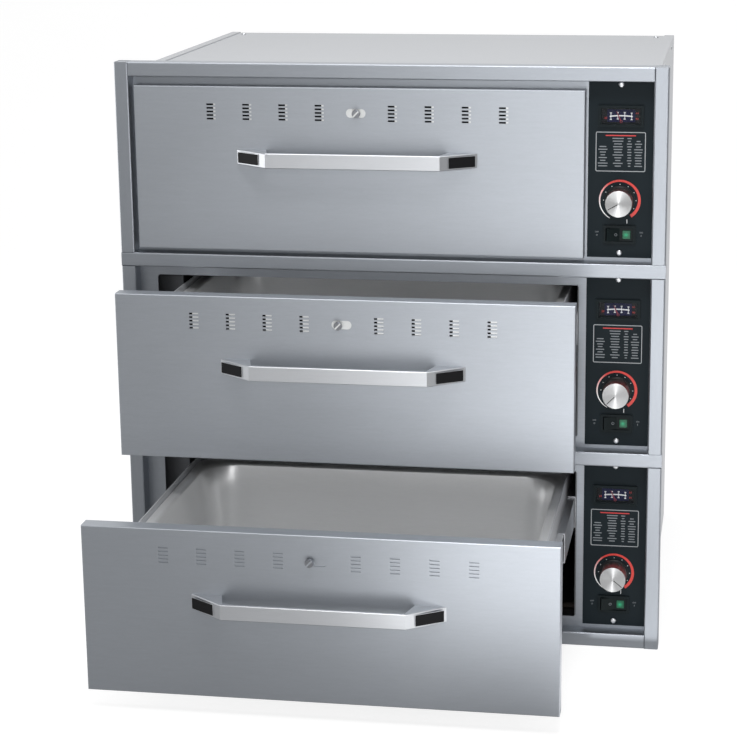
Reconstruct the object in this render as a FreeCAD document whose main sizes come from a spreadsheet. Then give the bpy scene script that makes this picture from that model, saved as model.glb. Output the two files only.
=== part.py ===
import FreeCAD, Part
import math
import os
import Sketcher

# Three-drawer warming cabinet, in millimetres.
# +X is the right-hand side seen from the front, +Y points to the back, +Z is up.
# The origin is on the underside of the base panel, midway across, behind the front plane.

os.makedirs("parts", exist_ok=True)
doc = FreeCAD.newDocument("warming_cabinet")
sheet = doc.addObject("Spreadsheet::Sheet", "Sizes")


class Size:
    """A number together with its spreadsheet formula, so that a sum of sizes is also a formula."""

    def __init__(self, value, formula):
        self.value = float(value)
        self.formula = formula

    def __add__(self, other):
        other = size(other)
        return Size(self.value + other.value, "(%s + %s)" % (self.formula, other.formula))

    def __sub__(self, other):
        other = size(other)
        return Size(self.value - other.value, "(%s - %s)" % (self.formula, other.formula))

    def __mul__(self, other):
        other = size(other)
        return Size(self.value * other.value, "(%s * %s)" % (self.formula, other.formula))

    def __truediv__(self, other):
        other = size(other)
        return Size(self.value / other.value, "(%s / %s)" % (self.formula, other.formula))

    def __radd__(self, other):
        return size(other) + self

    def __rsub__(self, other):
        return size(other) - self

    def __rmul__(self, other):
        return size(other) * self

    def __neg__(self):
        return Size(0, "0") - self


def size(number):
    """Wraps a plain number, and leaves a Size as it is."""
    if isinstance(number, Size):
        return number
    return Size(number, repr(float(number)))


class Sizes:
    """The driving dimensions. Each one is a cell of the spreadsheet with an alias."""

    def __init__(self, cells):
        for row, (alias, value) in enumerate(cells, start=1):
            sheet.set("A%d" % row, alias.replace("_", " "))
            sheet.set("B%d" % row, str(value))
            sheet.setAlias("B%d" % row, alias)
            setattr(self, alias, Size(value, "Sizes." + alias))


S = Sizes([
    ("overall_width", 749),
    ("overall_depth", 590),
    ("front_to_origin", 300),
    ("module_pitch", 262.5),
    ("trim_width", 19.5),
    ("trim_depth", 23),
    ("trim_bend", 2.2),
    ("trim_gauge", 1.5),
    ("plate_gauge", 1.2),
    ("base_gauge", 1.5),
    ("side_inset", 15.5),
    ("top_drop", 13),
    ("side_return", 15),
    ("opening_left", 330),
    ("opening_right", 258),
    ("opening_bottom", 34),
    ("opening_height", 213),
    ("opening_corner", 4),
    ("front_left", 348),
    ("front_width", 613),
    ("front_bottom", 26.5),
    ("front_height", 224),
    ("front_depth", 22),
    ("front_gauge", 1.2),
    ("vent_pitch", 49.75),
    ("vent_width", 12.5),
    ("vent_slot_height", 2.4),
    ("vent_slot_pitch", 4.85),
    ("vent_drop", 34),
    ("damper_window", 17.5),
    ("damper_window_offset", 7.45),
    ("knob_slot_width", 27),
    ("knob_slot_height", 12),
    ("damper_stem_radius", 3),
    ("damper_knob_radius", 5.3),
    ("damper_knob_reach", 9),
    ("damper_travel", 10),
    ("handle_length", 328),
    ("handle_bar", 236),
    ("handle_reach", 34),
    ("handle_height", 20),
    ("handle_gauge", 4),
    ("handle_foot", 40),
    ("handle_drop", 95),
    ("pan_centre", 24),
    ("pan_length", 530),
    ("pan_width", 325),
    ("pan_flange", 12),
    ("pan_deep", 150),
    ("pan_gauge", 1),
    ("pan_corner", 48),
    ("pan_level", 228),
    ("pan_front", 44),
    ("carrier_gap", 1),
    ("carrier_gauge", 1.5),
    ("carrier_length", 372),
    ("slide_height", 45),
    ("slide_thick", 12.7),
    ("slide_gauge", 1.4),
    ("slide_length", 440),
    ("slide_level", 185),
    ("deck_top", 18),
    ("bay_depth", 540),
    ("panel_left", 268),
    ("panel_width", 86),
    ("panel_low", 24.5),
    ("panel_gauge", 1.5),
    ("controls_centre", 311),
    ("gauge_level", 215),
    ("gauge_width", 60),
    ("gauge_height", 29),
    ("knob_level", 102.3),
    ("knob_radius", 17.6),
    ("knob_reach", 30),
    ("shaft_radius", 3),
    ("switch_level", 56),
    ("switch_width", 44),
    ("switch_height", 25),
    ("heater_radius", 4),
    ("screw_radius", 3.9),
    ("gland_radius", 9),
    ("cord_radius", 5),
])

MODULES = {"bottom": 0, "middle": 1, "top": 2}
OPENED = {"bottom": 300.0, "middle": 120.0, "top": 0.0}       # how far each drawer stands open
DAMPER_SHIFT = {"bottom": -8.5, "middle": -3.5, "top": 1.5}   # each damper knob, right of its slot's middle
KNOB_TURN = {"bottom": 130.0, "middle": 225.0, "top": 240.0}  # clockwise turn of each knob's pointer
ROCKER_TILT = 7.0
VENTS_PER_SIDE = 4
SLOTS_PER_VENT = 5

total_height = 3 * S.module_pitch + S.trim_width
half_width = S.overall_width / 2
body_half = half_width - S.side_inset
body_top = total_height - S.top_drop
skin_back = S.trim_depth + S.plate_gauge


# ---------------------------------------------------------------- building blocks

def start_body(name, across=0, back=0, up=0, turn=None):
    """A body labelled with its node's name, placed in the cabinet from the front plane."""
    body = doc.addObject("PartDesign::Body", name)
    body.Label = name
    body.AllowCompound = True
    place(body, across, back, up, turn)
    return body


def place(item, across=0, back=0, up=0, turn=None):
    """Puts an item at a position measured from the middle of the front plane's foot."""
    across, up = size(across), size(up)
    back = back - S.front_to_origin
    rotation = turn if turn else FreeCAD.Rotation()
    item.Placement = FreeCAD.Placement(FreeCAD.Vector(across.value, back.value, up.value), rotation)
    item.setExpression("Placement.Base.x", across.formula)
    item.setExpression("Placement.Base.y", back.formula)
    item.setExpression("Placement.Base.z", up.formula)


def origin_part(body, role):
    """The plane or axis of the body's own origin that has this role."""
    return next(f for f in body.Origin.OriginFeatures if f.Role == role)


def start_sketch(body, role, offset=0):
    """A sketch on one of the body's origin planes, moved along the plane's normal."""
    drawing = body.newObject("Sketcher::SketchObject", body.Name + "_sketch")
    drawing.AttachmentSupport = [(origin_part(body, role), "")]
    drawing.MapMode = "FlatFace"
    offset = size(offset)
    drawing.AttachmentOffset = FreeCAD.Placement(FreeCAD.Vector(0, 0, offset.value), FreeCAD.Rotation())
    drawing.setExpression("AttachmentOffset.Base.z", offset.formula)
    return drawing


def bind(drawing, kind, *references):
    """Adds a dimension whose last reference is its Size, bound to the spreadsheet."""
    value = references[-1]
    index = drawing.addConstraint(Sketcher.Constraint(kind, *references[:-1], value.value))
    drawing.setExpression("Constraints[%d]" % index, value.formula)


def rectangle(drawing, left, low, width, height):
    """A dimensioned rectangle."""
    left, low, width, height = size(left), size(low), size(width), size(height)
    x0, y0 = left.value, low.value
    x1, y1 = x0 + width.value, y0 + height.value
    corners = [FreeCAD.Vector(x, y, 0) for x, y in ((x0, y0), (x1, y0), (x1, y1), (x0, y1))]
    lines = [drawing.addGeometry(Part.LineSegment(corners[i], corners[(i + 1) % 4])) for i in range(4)]
    for i in range(4):
        following = lines[(i + 1) % 4]
        drawing.addConstraint(Sketcher.Constraint("Coincident", lines[i], 2, following, 1))
        drawing.addConstraint(Sketcher.Constraint("Vertical" if i % 2 else "Horizontal", lines[i]))
    bind(drawing, "DistanceX", -1, 1, lines[0], 1, left)
    bind(drawing, "DistanceY", -1, 1, lines[0], 1, low)
    bind(drawing, "DistanceX", lines[0], 1, lines[0], 2, width)
    bind(drawing, "DistanceY", lines[1], 1, lines[1], 2, height)


def rounded_rectangle(drawing, left, low, width, height, radius):
    """A dimensioned rectangle with four equal round corners."""
    left, low, width, height, radius = map(size, (left, low, width, height, radius))
    x0, y0, r = left.value, low.value, radius.value
    x1, y1 = x0 + width.value, y0 + height.value
    ends = [((x0 + r, y0), (x1 - r, y0)), ((x1, y0 + r), (x1, y1 - r)),
            ((x1 - r, y1), (x0 + r, y1)), ((x0, y1 - r), (x0, y0 + r))]
    centres = [(x1 - r, y0 + r), (x1 - r, y1 - r), (x0 + r, y1 - r), (x0 + r, y0 + r)]
    lines = [drawing.addGeometry(Part.LineSegment(FreeCAD.Vector(*a, 0), FreeCAD.Vector(*b, 0)))
             for a, b in ends]
    arcs = []
    for i, centre in enumerate(centres):
        circle = Part.Circle(FreeCAD.Vector(*centre, 0), FreeCAD.Vector(0, 0, 1), r)
        begin = (i - 1) * math.pi / 2
        arcs.append(drawing.addGeometry(Part.ArcOfCircle(circle, begin, begin + math.pi / 2)))
    for i in range(4):
        drawing.addConstraint(Sketcher.Constraint("Tangent", lines[i], 2, arcs[i], 1))
        drawing.addConstraint(Sketcher.Constraint("Tangent", arcs[i], 2, lines[(i + 1) % 4], 1))
    drawing.addConstraint(Sketcher.Constraint("Horizontal", lines[0]))
    drawing.addConstraint(Sketcher.Constraint("Horizontal", lines[2]))
    drawing.addConstraint(Sketcher.Constraint("Vertical", lines[1]))
    drawing.addConstraint(Sketcher.Constraint("Vertical", lines[3]))
    for i in range(1, 4):
        drawing.addConstraint(Sketcher.Constraint("Equal", arcs[0], arcs[i]))
    bind(drawing, "Radius", arcs[0], radius)
    bind(drawing, "DistanceX", -1, 1, lines[3], 1, left)
    bind(drawing, "DistanceY", -1, 1, lines[0], 1, low)
    bind(drawing, "DistanceX", lines[3], 1, lines[1], 1, width)
    bind(drawing, "DistanceY", lines[0], 1, lines[2], 1, height)


def circle(drawing, across, up, radius):
    """A dimensioned circle."""
    across, up, radius = size(across), size(up), size(radius)
    centre = FreeCAD.Vector(across.value, up.value, 0)
    ring = drawing.addGeometry(Part.Circle(centre, FreeCAD.Vector(0, 0, 1), radius.value))
    bind(drawing, "Radius", ring, radius)
    bind(drawing, "DistanceX", -1, 1, ring, 3, across)
    bind(drawing, "DistanceY", -1, 1, ring, 3, up)


def outline(drawing, points, closed=True):
    """A dimensioned run of straight lines through the given points."""
    points = [(size(x), size(y)) for x, y in points]
    vectors = [FreeCAD.Vector(x.value, y.value, 0) for x, y in points]
    count = len(points)
    lines = [drawing.addGeometry(Part.LineSegment(vectors[i], vectors[(i + 1) % count]))
             for i in range(count if closed else count - 1)]
    for i in range(count if closed else count - 2):
        drawing.addConstraint(Sketcher.Constraint("Coincident", lines[i], 2, lines[(i + 1) % count], 1))
    ends = [(line, 1) for line in lines] + ([] if closed else [(lines[-1], 2)])
    for (line, end), (x, y) in zip(ends, points):
        bind(drawing, "DistanceX", -1, 1, line, end, x)
        bind(drawing, "DistanceY", -1, 1, line, end, y)


def extrude(body, drawing, length, reverse=False, taper=0.0):
    """Pads a sketch along its normal, or against it."""
    return solid_step(body, "PartDesign::Pad", drawing, length, reverse, taper)


def cut(body, drawing, length, reverse=False, taper=0.0):
    """Pockets a sketch against its normal, or along it when reversed, and checks that it cut."""
    before = body.Shape.Volume
    step = solid_step(body, "PartDesign::Pocket", drawing, length, reverse, taper)
    if not body.Shape.Volume < before - 1e-6:
        raise RuntimeError("a pocket in %s cut nothing" % body.Label)
    return step


def solid_step(body, kind, drawing, length, reverse, taper):
    """A pad or a pocket with its length bound to the spreadsheet."""
    length = size(length)
    step = body.newObject(kind, body.Name + "_step")
    step.Profile = drawing
    step.Length = length.value
    step.setExpression("Length", length.formula)
    step.Reversed = reverse
    if taper:
        step.TaperAngle = taper
    drawing.Visibility = False
    doc.recompute()
    return step


def turned(body, points, axis_role="Z_Axis"):
    """A body of revolution about its own axis, from (radius, height) points."""
    drawing = start_sketch(body, "XZ_Plane")
    outline(drawing, points)
    step = body.newObject("PartDesign::Revolution", body.Name + "_turned")
    step.Profile = drawing
    step.ReferenceAxis = (origin_part(body, axis_role), [""])
    step.Angle = 360
    doc.recompute()
    return step


def edges_where(shape, test):
    """Names of the edges whose midpoint and direction pass a test."""
    names = []
    for index, edge in enumerate(shape.Edges, start=1):
        middle = edge.valueAt((edge.FirstParameter + edge.LastParameter) / 2)
        along = edge.tangentAt((edge.FirstParameter + edge.LastParameter) / 2)
        if test(middle, along):
            names.append("Edge%d" % index)
    return names


def round_edges(body, radius, test):
    """Fillets the edges that pass a test."""
    radius = size(radius)
    base = body.Tip
    step = body.newObject("PartDesign::Fillet", body.Name + "_round")
    step.Base = (base, edges_where(base.Shape, test))
    step.Radius = radius.value
    step.setExpression("Radius", radius.formula)
    doc.recompute()
    return step


def bevel_edges(body, width, test):
    """Chamfers the edges of a body's last step that pass a test."""
    base = body.Tip
    step = body.newObject("PartDesign::Chamfer", body.Name + "_bevel")
    step.Base = (base, edges_where(base.Shape, test))
    step.Size = width
    doc.recompute()


def repeat(body, steps, role, spacing, count):
    """Repeats features along an axis of the body."""
    spacing = size(spacing)
    pattern = body.newObject("PartDesign::LinearPattern", body.Name + "_repeat")
    pattern.Originals = steps
    pattern.Direction = (origin_part(body, role), [""])
    pattern.Length = spacing.value * (count - 1)
    pattern.setExpression("Length", "%s * %d" % (spacing.formula, count - 1))
    pattern.Occurrences = count
    body.Tip = pattern
    doc.recompute()
    return pattern


def near(value, target):
    return abs(value - target) < 1e-3


# ---------------------------------------------------------------- trim and face plate

def trim_channel(body, left, low, width, height):
    """One folded trim channel: a pad, rounded along its long front edges, hollow from the back."""
    along_x = size(width).value > size(height).value
    front = start_sketch(body, "XZ_Plane")
    rectangle(front, left, low, width, height)
    extrude(body, front, S.trim_depth, reverse=True)

    def front_edge(middle, along):
        direction = abs(along.x) if along_x else abs(along.z)
        inside = size(left).value - 1e-3 <= middle.x <= (size(left) + width).value + 1e-3
        level = size(low).value - 1e-3 <= middle.z <= (size(low) + height).value + 1e-3
        return near(middle.y, 0) and direction > 0.9 and inside and level

    round_edges(body, S.trim_bend, front_edge)
    wall = S.trim_gauge
    inner = start_sketch(body, "XZ_Plane", -S.trim_depth)
    if along_x:
        rectangle(inner, left, low + wall, width, height - 2 * wall)
    else:
        rectangle(inner, left + wall, low, width - 2 * wall, height)
    cut(body, inner, S.trim_depth - wall, reverse=True)


def trim_stiles(name, left):
    """The three upright trim channels of one side, broken by the middle rails."""
    body = start_body(name)
    gap = size(0)
    spans = [(gap, S.module_pitch), (S.module_pitch + S.trim_width, 2 * S.module_pitch),
             (2 * S.module_pitch + S.trim_width, total_height)]
    for low, high in spans:
        trim_channel(body, left, low, S.trim_width, high - low)


def trim_rails():
    """The top and bottom rails between the stiles, and two middle rails across the full width."""
    inner = S.overall_width - 2 * S.trim_width
    left = S.trim_width - half_width
    top = start_body("trim_top_rail")
    trim_channel(top, left, total_height - S.trim_width, inner, S.trim_width)
    bottom = start_body("trim_bottom_rail")
    trim_channel(bottom, left, size(0), inner, S.trim_width)
    middle = start_body("trim_middle_rails")
    for level in (S.module_pitch, 2 * S.module_pitch):
        trim_channel(middle, -half_width, level, S.overall_width, S.trim_width)


def face_plate():
    """The plate behind the trim, with an opening for each drawer and each control group, hemmed at its sides."""
    body = start_body("face_plate", back=S.trim_depth)
    blank = start_sketch(body, "XZ_Plane")
    rectangle(blank, -half_width, 0, S.overall_width, total_height)
    extrude(body, blank, S.plate_gauge, reverse=True)
    for level in range(3):
        opening = start_sketch(body, "XZ_Plane")
        rounded_rectangle(opening, -S.opening_left, S.opening_bottom + level * S.module_pitch,
                          S.opening_left + S.opening_right, S.opening_height, S.opening_corner)
        cut(body, opening, S.plate_gauge, reverse=False)
        window = start_sketch(body, "XZ_Plane")
        rectangle(window, S.controls_centre - 32, S.switch_level - 16 + level * S.module_pitch,
                  64, S.gauge_level - S.switch_level + 32)
        cut(body, window, S.plate_gauge, reverse=False)
    for left in (-half_width, half_width - FLANGE_HEM):
        hem = start_sketch(body, "XZ_Plane", -S.plate_gauge)
        rectangle(hem, left, 0, FLANGE_HEM, total_height)
        extrude(body, hem, S.plate_gauge, reverse=True)


# ---------------------------------------------------------------- cabinet shell

def side_panel(name, side):
    """A folded side with returns over the top panel and over the base; side is -1 left, 1 right."""
    body = start_body(name, back=skin_back)
    gauge = S.plate_gauge
    outside, inside = side * body_half, side * (body_half - gauge)
    lip = side * (body_half - S.side_return)
    drawing = start_sketch(body, "XZ_Plane")
    outline(drawing, [
        (outside, S.base_gauge), (lip, S.base_gauge), (lip, S.base_gauge + gauge),
        (inside, S.base_gauge + gauge), (inside, body_top - gauge), (lip, body_top - gauge),
        (lip, body_top), (outside, body_top)])
    extrude(body, drawing, S.overall_depth - skin_back, reverse=True)
    round_edges(body, 1, lambda middle, along:
                near(middle.x, outside.value) and abs(along.y) > 0.9)
    flange = start_sketch(body, "XZ_Plane", skin_back + 2 * gauge - S.overall_depth)
    left = outside if side < 0 else lip
    low = S.base_gauge + gauge
    rectangle(flange, left, low, S.side_return, body_top - low - gauge - FOLD - 1)
    extrude(body, flange, gauge, reverse=True)


def top_panel():
    """The top sheet with its front and back edges folded down, seated under the side returns."""
    width = body_half - S.plate_gauge - FIT
    body = start_body("top_panel", -width, skin_back, body_top - S.plate_gauge)
    gauge, length = S.plate_gauge, S.overall_depth - skin_back - S.plate_gauge
    drawing = start_sketch(body, "YZ_Plane")
    outline(drawing, [
        (0, -FOLD), (gauge, -FOLD), (gauge, -gauge), (length - gauge, -gauge),
        (length - gauge, -FOLD), (length, -FOLD), (length, 0), (0, 0)])
    extrude(body, drawing, 2 * width)
    for across in (0, 2 * width - gauge):
        fold = start_sketch(body, "XY_Plane", -size(FOLD))
        rectangle(fold, across, gauge, gauge, length - 2 * gauge)
        extrude(body, fold, FOLD - gauge)


def back_panel():
    """The flat back sheet between the sides, with the gland hole."""
    width = body_half - S.plate_gauge - FIT
    low = S.base_gauge + S.plate_gauge + FIT
    body = start_body("back_panel", back=S.overall_depth - S.plate_gauge)
    drawing = start_sketch(body, "XZ_Plane")
    rectangle(drawing, -width, low, 2 * width, body_top - S.plate_gauge - low)
    extrude(body, drawing, S.plate_gauge, reverse=True)
    hole = start_sketch(body, "XZ_Plane")
    circle(hole, GLAND_ACROSS, GLAND_LEVEL, S.gland_radius + FIT)
    cut(body, hole, S.plate_gauge)


def base_panel():
    """The sheet that the cabinet rests on."""
    body = start_body("base_panel", back=skin_back)
    drawing = start_sketch(body, "XY_Plane")
    rectangle(drawing, -body_half, 0, 2 * body_half, S.overall_depth - skin_back)
    extrude(body, drawing, S.base_gauge)


def drawer_decks():
    """The floor of each drawer bay: a tray folded down on all four sides."""
    body = start_body("drawer_decks", back=skin_back)
    low = S.base_gauge + S.plate_gauge
    drawing = start_sketch(body, "XY_Plane", low)
    left = S.plate_gauge - body_half
    rectangle(drawing, left, 0, bay_wall - left, S.bay_depth - skin_back)
    first = extrude(body, drawing, S.deck_top - low)
    gauge = S.plate_gauge
    under = start_sketch(body, "XY_Plane", low)
    rectangle(under, left + gauge, gauge, bay_wall - left - 2 * gauge, S.bay_depth - skin_back - 2 * gauge)
    second = cut(body, under, S.deck_top - low - gauge, reverse=True)
    repeat(body, [first, second], "Z_Axis", S.module_pitch, 3)


def control_bay_wall():
    """The wall between the drawer bays and the control bay, folded at the front."""
    body = start_body("control_bay_wall", back=skin_back)
    gauge, length = S.plate_gauge, S.overall_depth - skin_back - S.plate_gauge
    drawing = start_sketch(body, "XY_Plane", S.base_gauge)
    outline(drawing, [
        (bay_wall, 0), (bay_wall + BAY_FOLD, 0), (bay_wall + BAY_FOLD, gauge),
        (bay_wall + gauge, gauge), (bay_wall + gauge, length), (bay_wall, length)])
    extrude(body, drawing, body_top - S.base_gauge - 2 * gauge - FOLD)
    for level in range(3):
        for depth in (HEATER_FIRST, HEATER_FIRST + (HEATER_PASSES - 1) * HEATER_STEP):
            hole = start_sketch(body, "YZ_Plane", bay_wall)
            middle = S.deck_top + S.heater_radius + level * S.module_pitch
            half = S.heater_radius + FIT
            rectangle(hole, depth - skin_back - half, middle - half, 2 * half, 2 * half)
            cut(body, hole, gauge, reverse=True)


def slide_brackets():
    """Folded uprights that carry the left-hand slides, two in each bay."""
    body = start_body("slide_brackets")
    gauge = S.plate_gauge
    wall, web = gauge - body_half, left_slide
    steps = []
    for depth in BRACKET_DEPTHS:
        drawing = start_sketch(body, "XY_Plane", S.deck_top)
        outline(drawing, [
            (wall, depth), (web, depth), (web, depth + BRACKET_WIDTH), (wall, depth + BRACKET_WIDTH),
            (wall, depth + BRACKET_WIDTH - gauge), (web - gauge, depth + BRACKET_WIDTH - gauge),
            (web - gauge, depth + gauge), (wall, depth + gauge)])
        steps.append(extrude(body, drawing, BRACKET_HEIGHT))
    repeat(body, steps, "Z_Axis", S.module_pitch, 3)


def heating_elements():
    """A sheathed element on the floor of each bay, bent to and fro, with both ends in the control bay."""
    body = start_body("heating_elements")
    level = S.deck_top + S.heater_radius
    path = start_sketch(body, "XY_Plane", level)
    bend = HEATER_STEP / 2
    points = [(HEATER_END, HEATER_FIRST)]
    for index in range(HEATER_PASSES - 1):
        depth = HEATER_FIRST + index * HEATER_STEP
        face = -1 if index % 2 == 0 else 1
        turn = HEATER_LEFT if face < 0 else HEATER_RIGHT
        points += [(turn, depth), (turn + face * bend, depth + 0.6 * bend),
                   (turn + face * bend, depth + 1.4 * bend), (turn, depth + 2 * bend)]
    points.append((HEATER_END, HEATER_FIRST + (HEATER_PASSES - 1) * HEATER_STEP))
    outline(path, points, closed=False)
    section = start_sketch(body, "YZ_Plane", HEATER_END)
    radius, middle = S.heater_radius, HEATER_FIRST
    outline(section, [(middle + radius * math.sin(turn), level + radius * math.cos(turn))
                      for turn in (math.radians(60 * step) for step in range(6))])
    doc.recompute()
    pipe = body.newObject("PartDesign::AdditivePipe", "heater_tube")
    pipe.Profile = section
    pipe.Spine = (path, [])
    pipe.Transition = "Right corner"
    doc.recompute()
    repeat(body, [pipe], "Z_Axis", S.module_pitch, 3)


def cord_gland():
    """The empty cord bushing in the back panel."""
    body = start_body("cord_gland", GLAND_ACROSS, S.overall_depth - 6, GLAND_LEVEL,
                      FreeCAD.Rotation(FreeCAD.Vector(1, 0, 0), -90))
    bore, neck, flange = S.cord_radius, S.gland_radius, S.gland_radius + 4
    turned(body, [(bore, 0), (neck, 0), (neck, 6), (flange, 6), (bore + 2, 14), (bore, 14)])


# ---------------------------------------------------------------- controls

def control_panel(name, level):
    """The black control plate with its cut-outs."""
    body = start_body(name, 0, S.trim_depth - S.panel_gauge, level)
    drawing = start_sketch(body, "XZ_Plane")
    rounded_rectangle(drawing, S.panel_left, S.panel_low, S.panel_width, S.module_pitch - S.panel_low - 0.5, 1)
    extrude(body, drawing, S.panel_gauge, reverse=True)
    for width, height, middle in ((GAUGE_BODY_WIDTH, GAUGE_BODY_HEIGHT, S.gauge_level),
                                  (SWITCH_BODY_WIDTH, SWITCH_BODY_HEIGHT, S.switch_level)):
        window = start_sketch(body, "XZ_Plane")
        rectangle(window, S.controls_centre - width / 2 - FIT, middle - height / 2 - FIT,
                  width + 2 * FIT, height + 2 * FIT)
        cut(body, window, S.panel_gauge)
    hole = start_sketch(body, "XZ_Plane")
    circle(hole, S.controls_centre, S.knob_level, S.shaft_radius + 0.5)
    cut(body, hole, S.panel_gauge)


def gauge_case(name, level):
    """The temperature gauge: a bevelled bezel, a body behind the plate, a dial well and the needle's post."""
    body = start_body(name, S.controls_centre, S.trim_depth - S.panel_gauge, level + S.gauge_level)
    bezel = start_sketch(body, "XZ_Plane")
    rounded_rectangle(bezel, -S.gauge_width / 2, -S.gauge_height / 2, S.gauge_width, S.gauge_height, 1.5)
    extrude(body, bezel, GAUGE_PROUD)
    box = start_sketch(body, "XZ_Plane")
    rectangle(box, -GAUGE_BODY_WIDTH / 2, -GAUGE_BODY_HEIGHT / 2, GAUGE_BODY_WIDTH, GAUGE_BODY_HEIGHT)
    extrude(body, box, 20, reverse=True)
    seat = start_sketch(body, "XZ_Plane", GAUGE_PROUD)
    rectangle(seat, -GLASS_WIDTH / 2, -GLASS_HEIGHT / 2, GLASS_WIDTH, GLASS_HEIGHT)
    cut(body, seat, GLASS_SEAT)
    well = start_sketch(body, "XZ_Plane", GAUGE_PROUD)
    rectangle(well, -WELL_WIDTH / 2, -WELL_HEIGHT / 2, WELL_WIDTH, WELL_HEIGHT)
    cut(body, well, WELL_DEEP)
    post = start_sketch(body, "XZ_Plane", GAUGE_PROUD - WELL_DEEP)
    circle(post, 0, NEEDLE_LEVEL, NEEDLE_POST)
    extrude(body, post, 2.2)


def gauge_glasses():
    """The flat window of each gauge."""
    front = S.trim_depth - S.panel_gauge - GAUGE_PROUD + GLASS_SEAT
    body = start_body("gauge_glasses", S.controls_centre, front, S.gauge_level)
    pane = start_sketch(body, "XZ_Plane")
    width, height = GLASS_WIDTH - 2 * FIT, GLASS_HEIGHT - 2 * FIT
    rectangle(pane, -width / 2, -height / 2, width, height)
    step = extrude(body, pane, GLASS_SEAT)
    repeat(body, [step], "Z_Axis", S.module_pitch, 3)


def gauge_needle(name, level, turn):
    """A flat tapered pointer on a hub ring."""
    back = S.trim_depth - S.panel_gauge - GAUGE_PROUD + WELL_DEEP - 0.8
    body = start_body(name, S.controls_centre, back, level + S.gauge_level + NEEDLE_LEVEL,
                      FreeCAD.Rotation(FreeCAD.Vector(0, 1, 0), turn))
    hub = start_sketch(body, "XZ_Plane")
    circle(hub, 0, 0, NEEDLE_HUB)
    extrude(body, hub, 1)
    blade = start_sketch(body, "XZ_Plane")
    outline(blade, [(-0.9, 0), (0.9, 0), (0.35, NEEDLE_LENGTH), (-0.35, NEEDLE_LENGTH)])
    extrude(body, blade, 0.6)
    bore = start_sketch(body, "XZ_Plane", 2)
    circle(bore, 0, 0, NEEDLE_POST + 0.05)
    cut(body, bore, 3)


def thermostats():
    """The thermostat behind each control plate, with a threaded neck and a bore for the knob's shaft."""
    body = start_body("thermostats", S.controls_centre, S.trim_depth, S.knob_level)
    neck = start_sketch(body, "XZ_Plane")
    circle(neck, 0, 0, S.shaft_radius + 2)
    first = extrude(body, neck, 3, reverse=True)
    case = start_sketch(body, "XZ_Plane", -3)
    rectangle(case, -17, -17, 34, 34)
    second = extrude(body, case, 28, reverse=True)
    bore = start_sketch(body, "XZ_Plane")
    circle(bore, 0, 0, S.shaft_radius + 0.05)
    third = cut(body, bore, 24)
    repeat(body, [first, second, third], "Z_Axis", S.module_pitch, 3)


def thermostat_knob(name, level, turn):
    """A skirted knob with its shaft and a pointer groove, turned clockwise from the top by an angle."""
    outward = FreeCAD.Rotation(FreeCAD.Vector(1, 0, 0), 90)
    body = start_body(name, S.controls_centre, S.trim_depth - S.panel_gauge, level + S.knob_level,
                      outward * FreeCAD.Rotation(FreeCAD.Vector(0, 0, 1), -turn))
    cap, skirt, shaft, reach = S.knob_radius, S.knob_radius + 2.4, S.shaft_radius, S.knob_reach
    turned(body, [(0, -20), (shaft, -20), (shaft, 0.6), (skirt, 0.6), (skirt, 3.4), (cap, 3.4),
                  (cap, reach), (0, reach)])
    groove = start_sketch(body, "XY_Plane", reach)
    rectangle(groove, -0.6, 2, 1.2, cap - 3)
    cut(body, groove, 0.5)


def switch_bezel(name, level):
    """The switch's snap-in housing: a thin bevelled bezel round an open well with pivot holes."""
    body = start_body(name, S.controls_centre, S.trim_depth - S.panel_gauge, level + S.switch_level)
    bezel = start_sketch(body, "XZ_Plane")
    rounded_rectangle(bezel, -S.switch_width / 2, -S.switch_height / 2, S.switch_width, S.switch_height, 1.5)
    extrude(body, bezel, SWITCH_PROUD)
    box = start_sketch(body, "XZ_Plane")
    rectangle(box, -SWITCH_BODY_WIDTH / 2, -SWITCH_BODY_HEIGHT / 2, SWITCH_BODY_WIDTH, SWITCH_BODY_HEIGHT)
    extrude(body, box, 22, reverse=True)
    well = start_sketch(body, "XZ_Plane", SWITCH_PROUD)
    rectangle(well, -ROCKER_WELL_WIDTH / 2, -ROCKER_WELL_HEIGHT / 2, ROCKER_WELL_WIDTH, ROCKER_WELL_HEIGHT)
    cut(body, well, 14)
    pivot = start_sketch(body, "XY_Plane", SWITCH_BODY_HEIGHT / 2)
    circle(pivot, 0, ROCKER_PIVOT, ROCKER_PIN + 0.05)
    cut(body, pivot, SWITCH_BODY_HEIGHT)


def switch_rocker(name, level, tilt):
    """A rocker with a shallow V front, on two pivot pins."""
    back = S.trim_depth - S.panel_gauge + ROCKER_PIVOT
    body = start_body(name, S.controls_centre, back, level + S.switch_level,
                      FreeCAD.Rotation(FreeCAD.Vector(0, 0, 1), tilt))
    half, height = ROCKER_WIDTH / 2, ROCKER_WELL_HEIGHT - 0.6
    drawing = start_sketch(body, "XY_Plane", -height / 2)
    outline(drawing, [(-half, -4.6), (0, -2.4), (half, -4.6), (half, 1), (0, 5), (-half, 1)])
    extrude(body, drawing, height)
    pins = ROCKER_WELL_HEIGHT + 0.6
    drawing = start_sketch(body, "XY_Plane", -pins / 2)
    circle(drawing, 0, 0, ROCKER_PIN)
    extrude(body, drawing, pins)


# ---------------------------------------------------------------- drawers

def slide_member(body, low_x, reach, half_height, gauge, start, length, face):
    """One C-shaped slide member; face is 1 when its web is on the left and -1 on the right."""
    drawing = start_sketch(body, "XZ_Plane", -size(start))
    web, tip = low_x, low_x + face * reach
    inner = low_x + face * gauge
    outline(drawing, [
        (web, -half_height), (tip, -half_height), (tip, gauge - half_height), (inner, gauge - half_height),
        (inner, half_height - gauge), (tip, half_height - gauge), (tip, half_height), (web, half_height)])
    return extrude(body, drawing, length, reverse=True)


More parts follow.
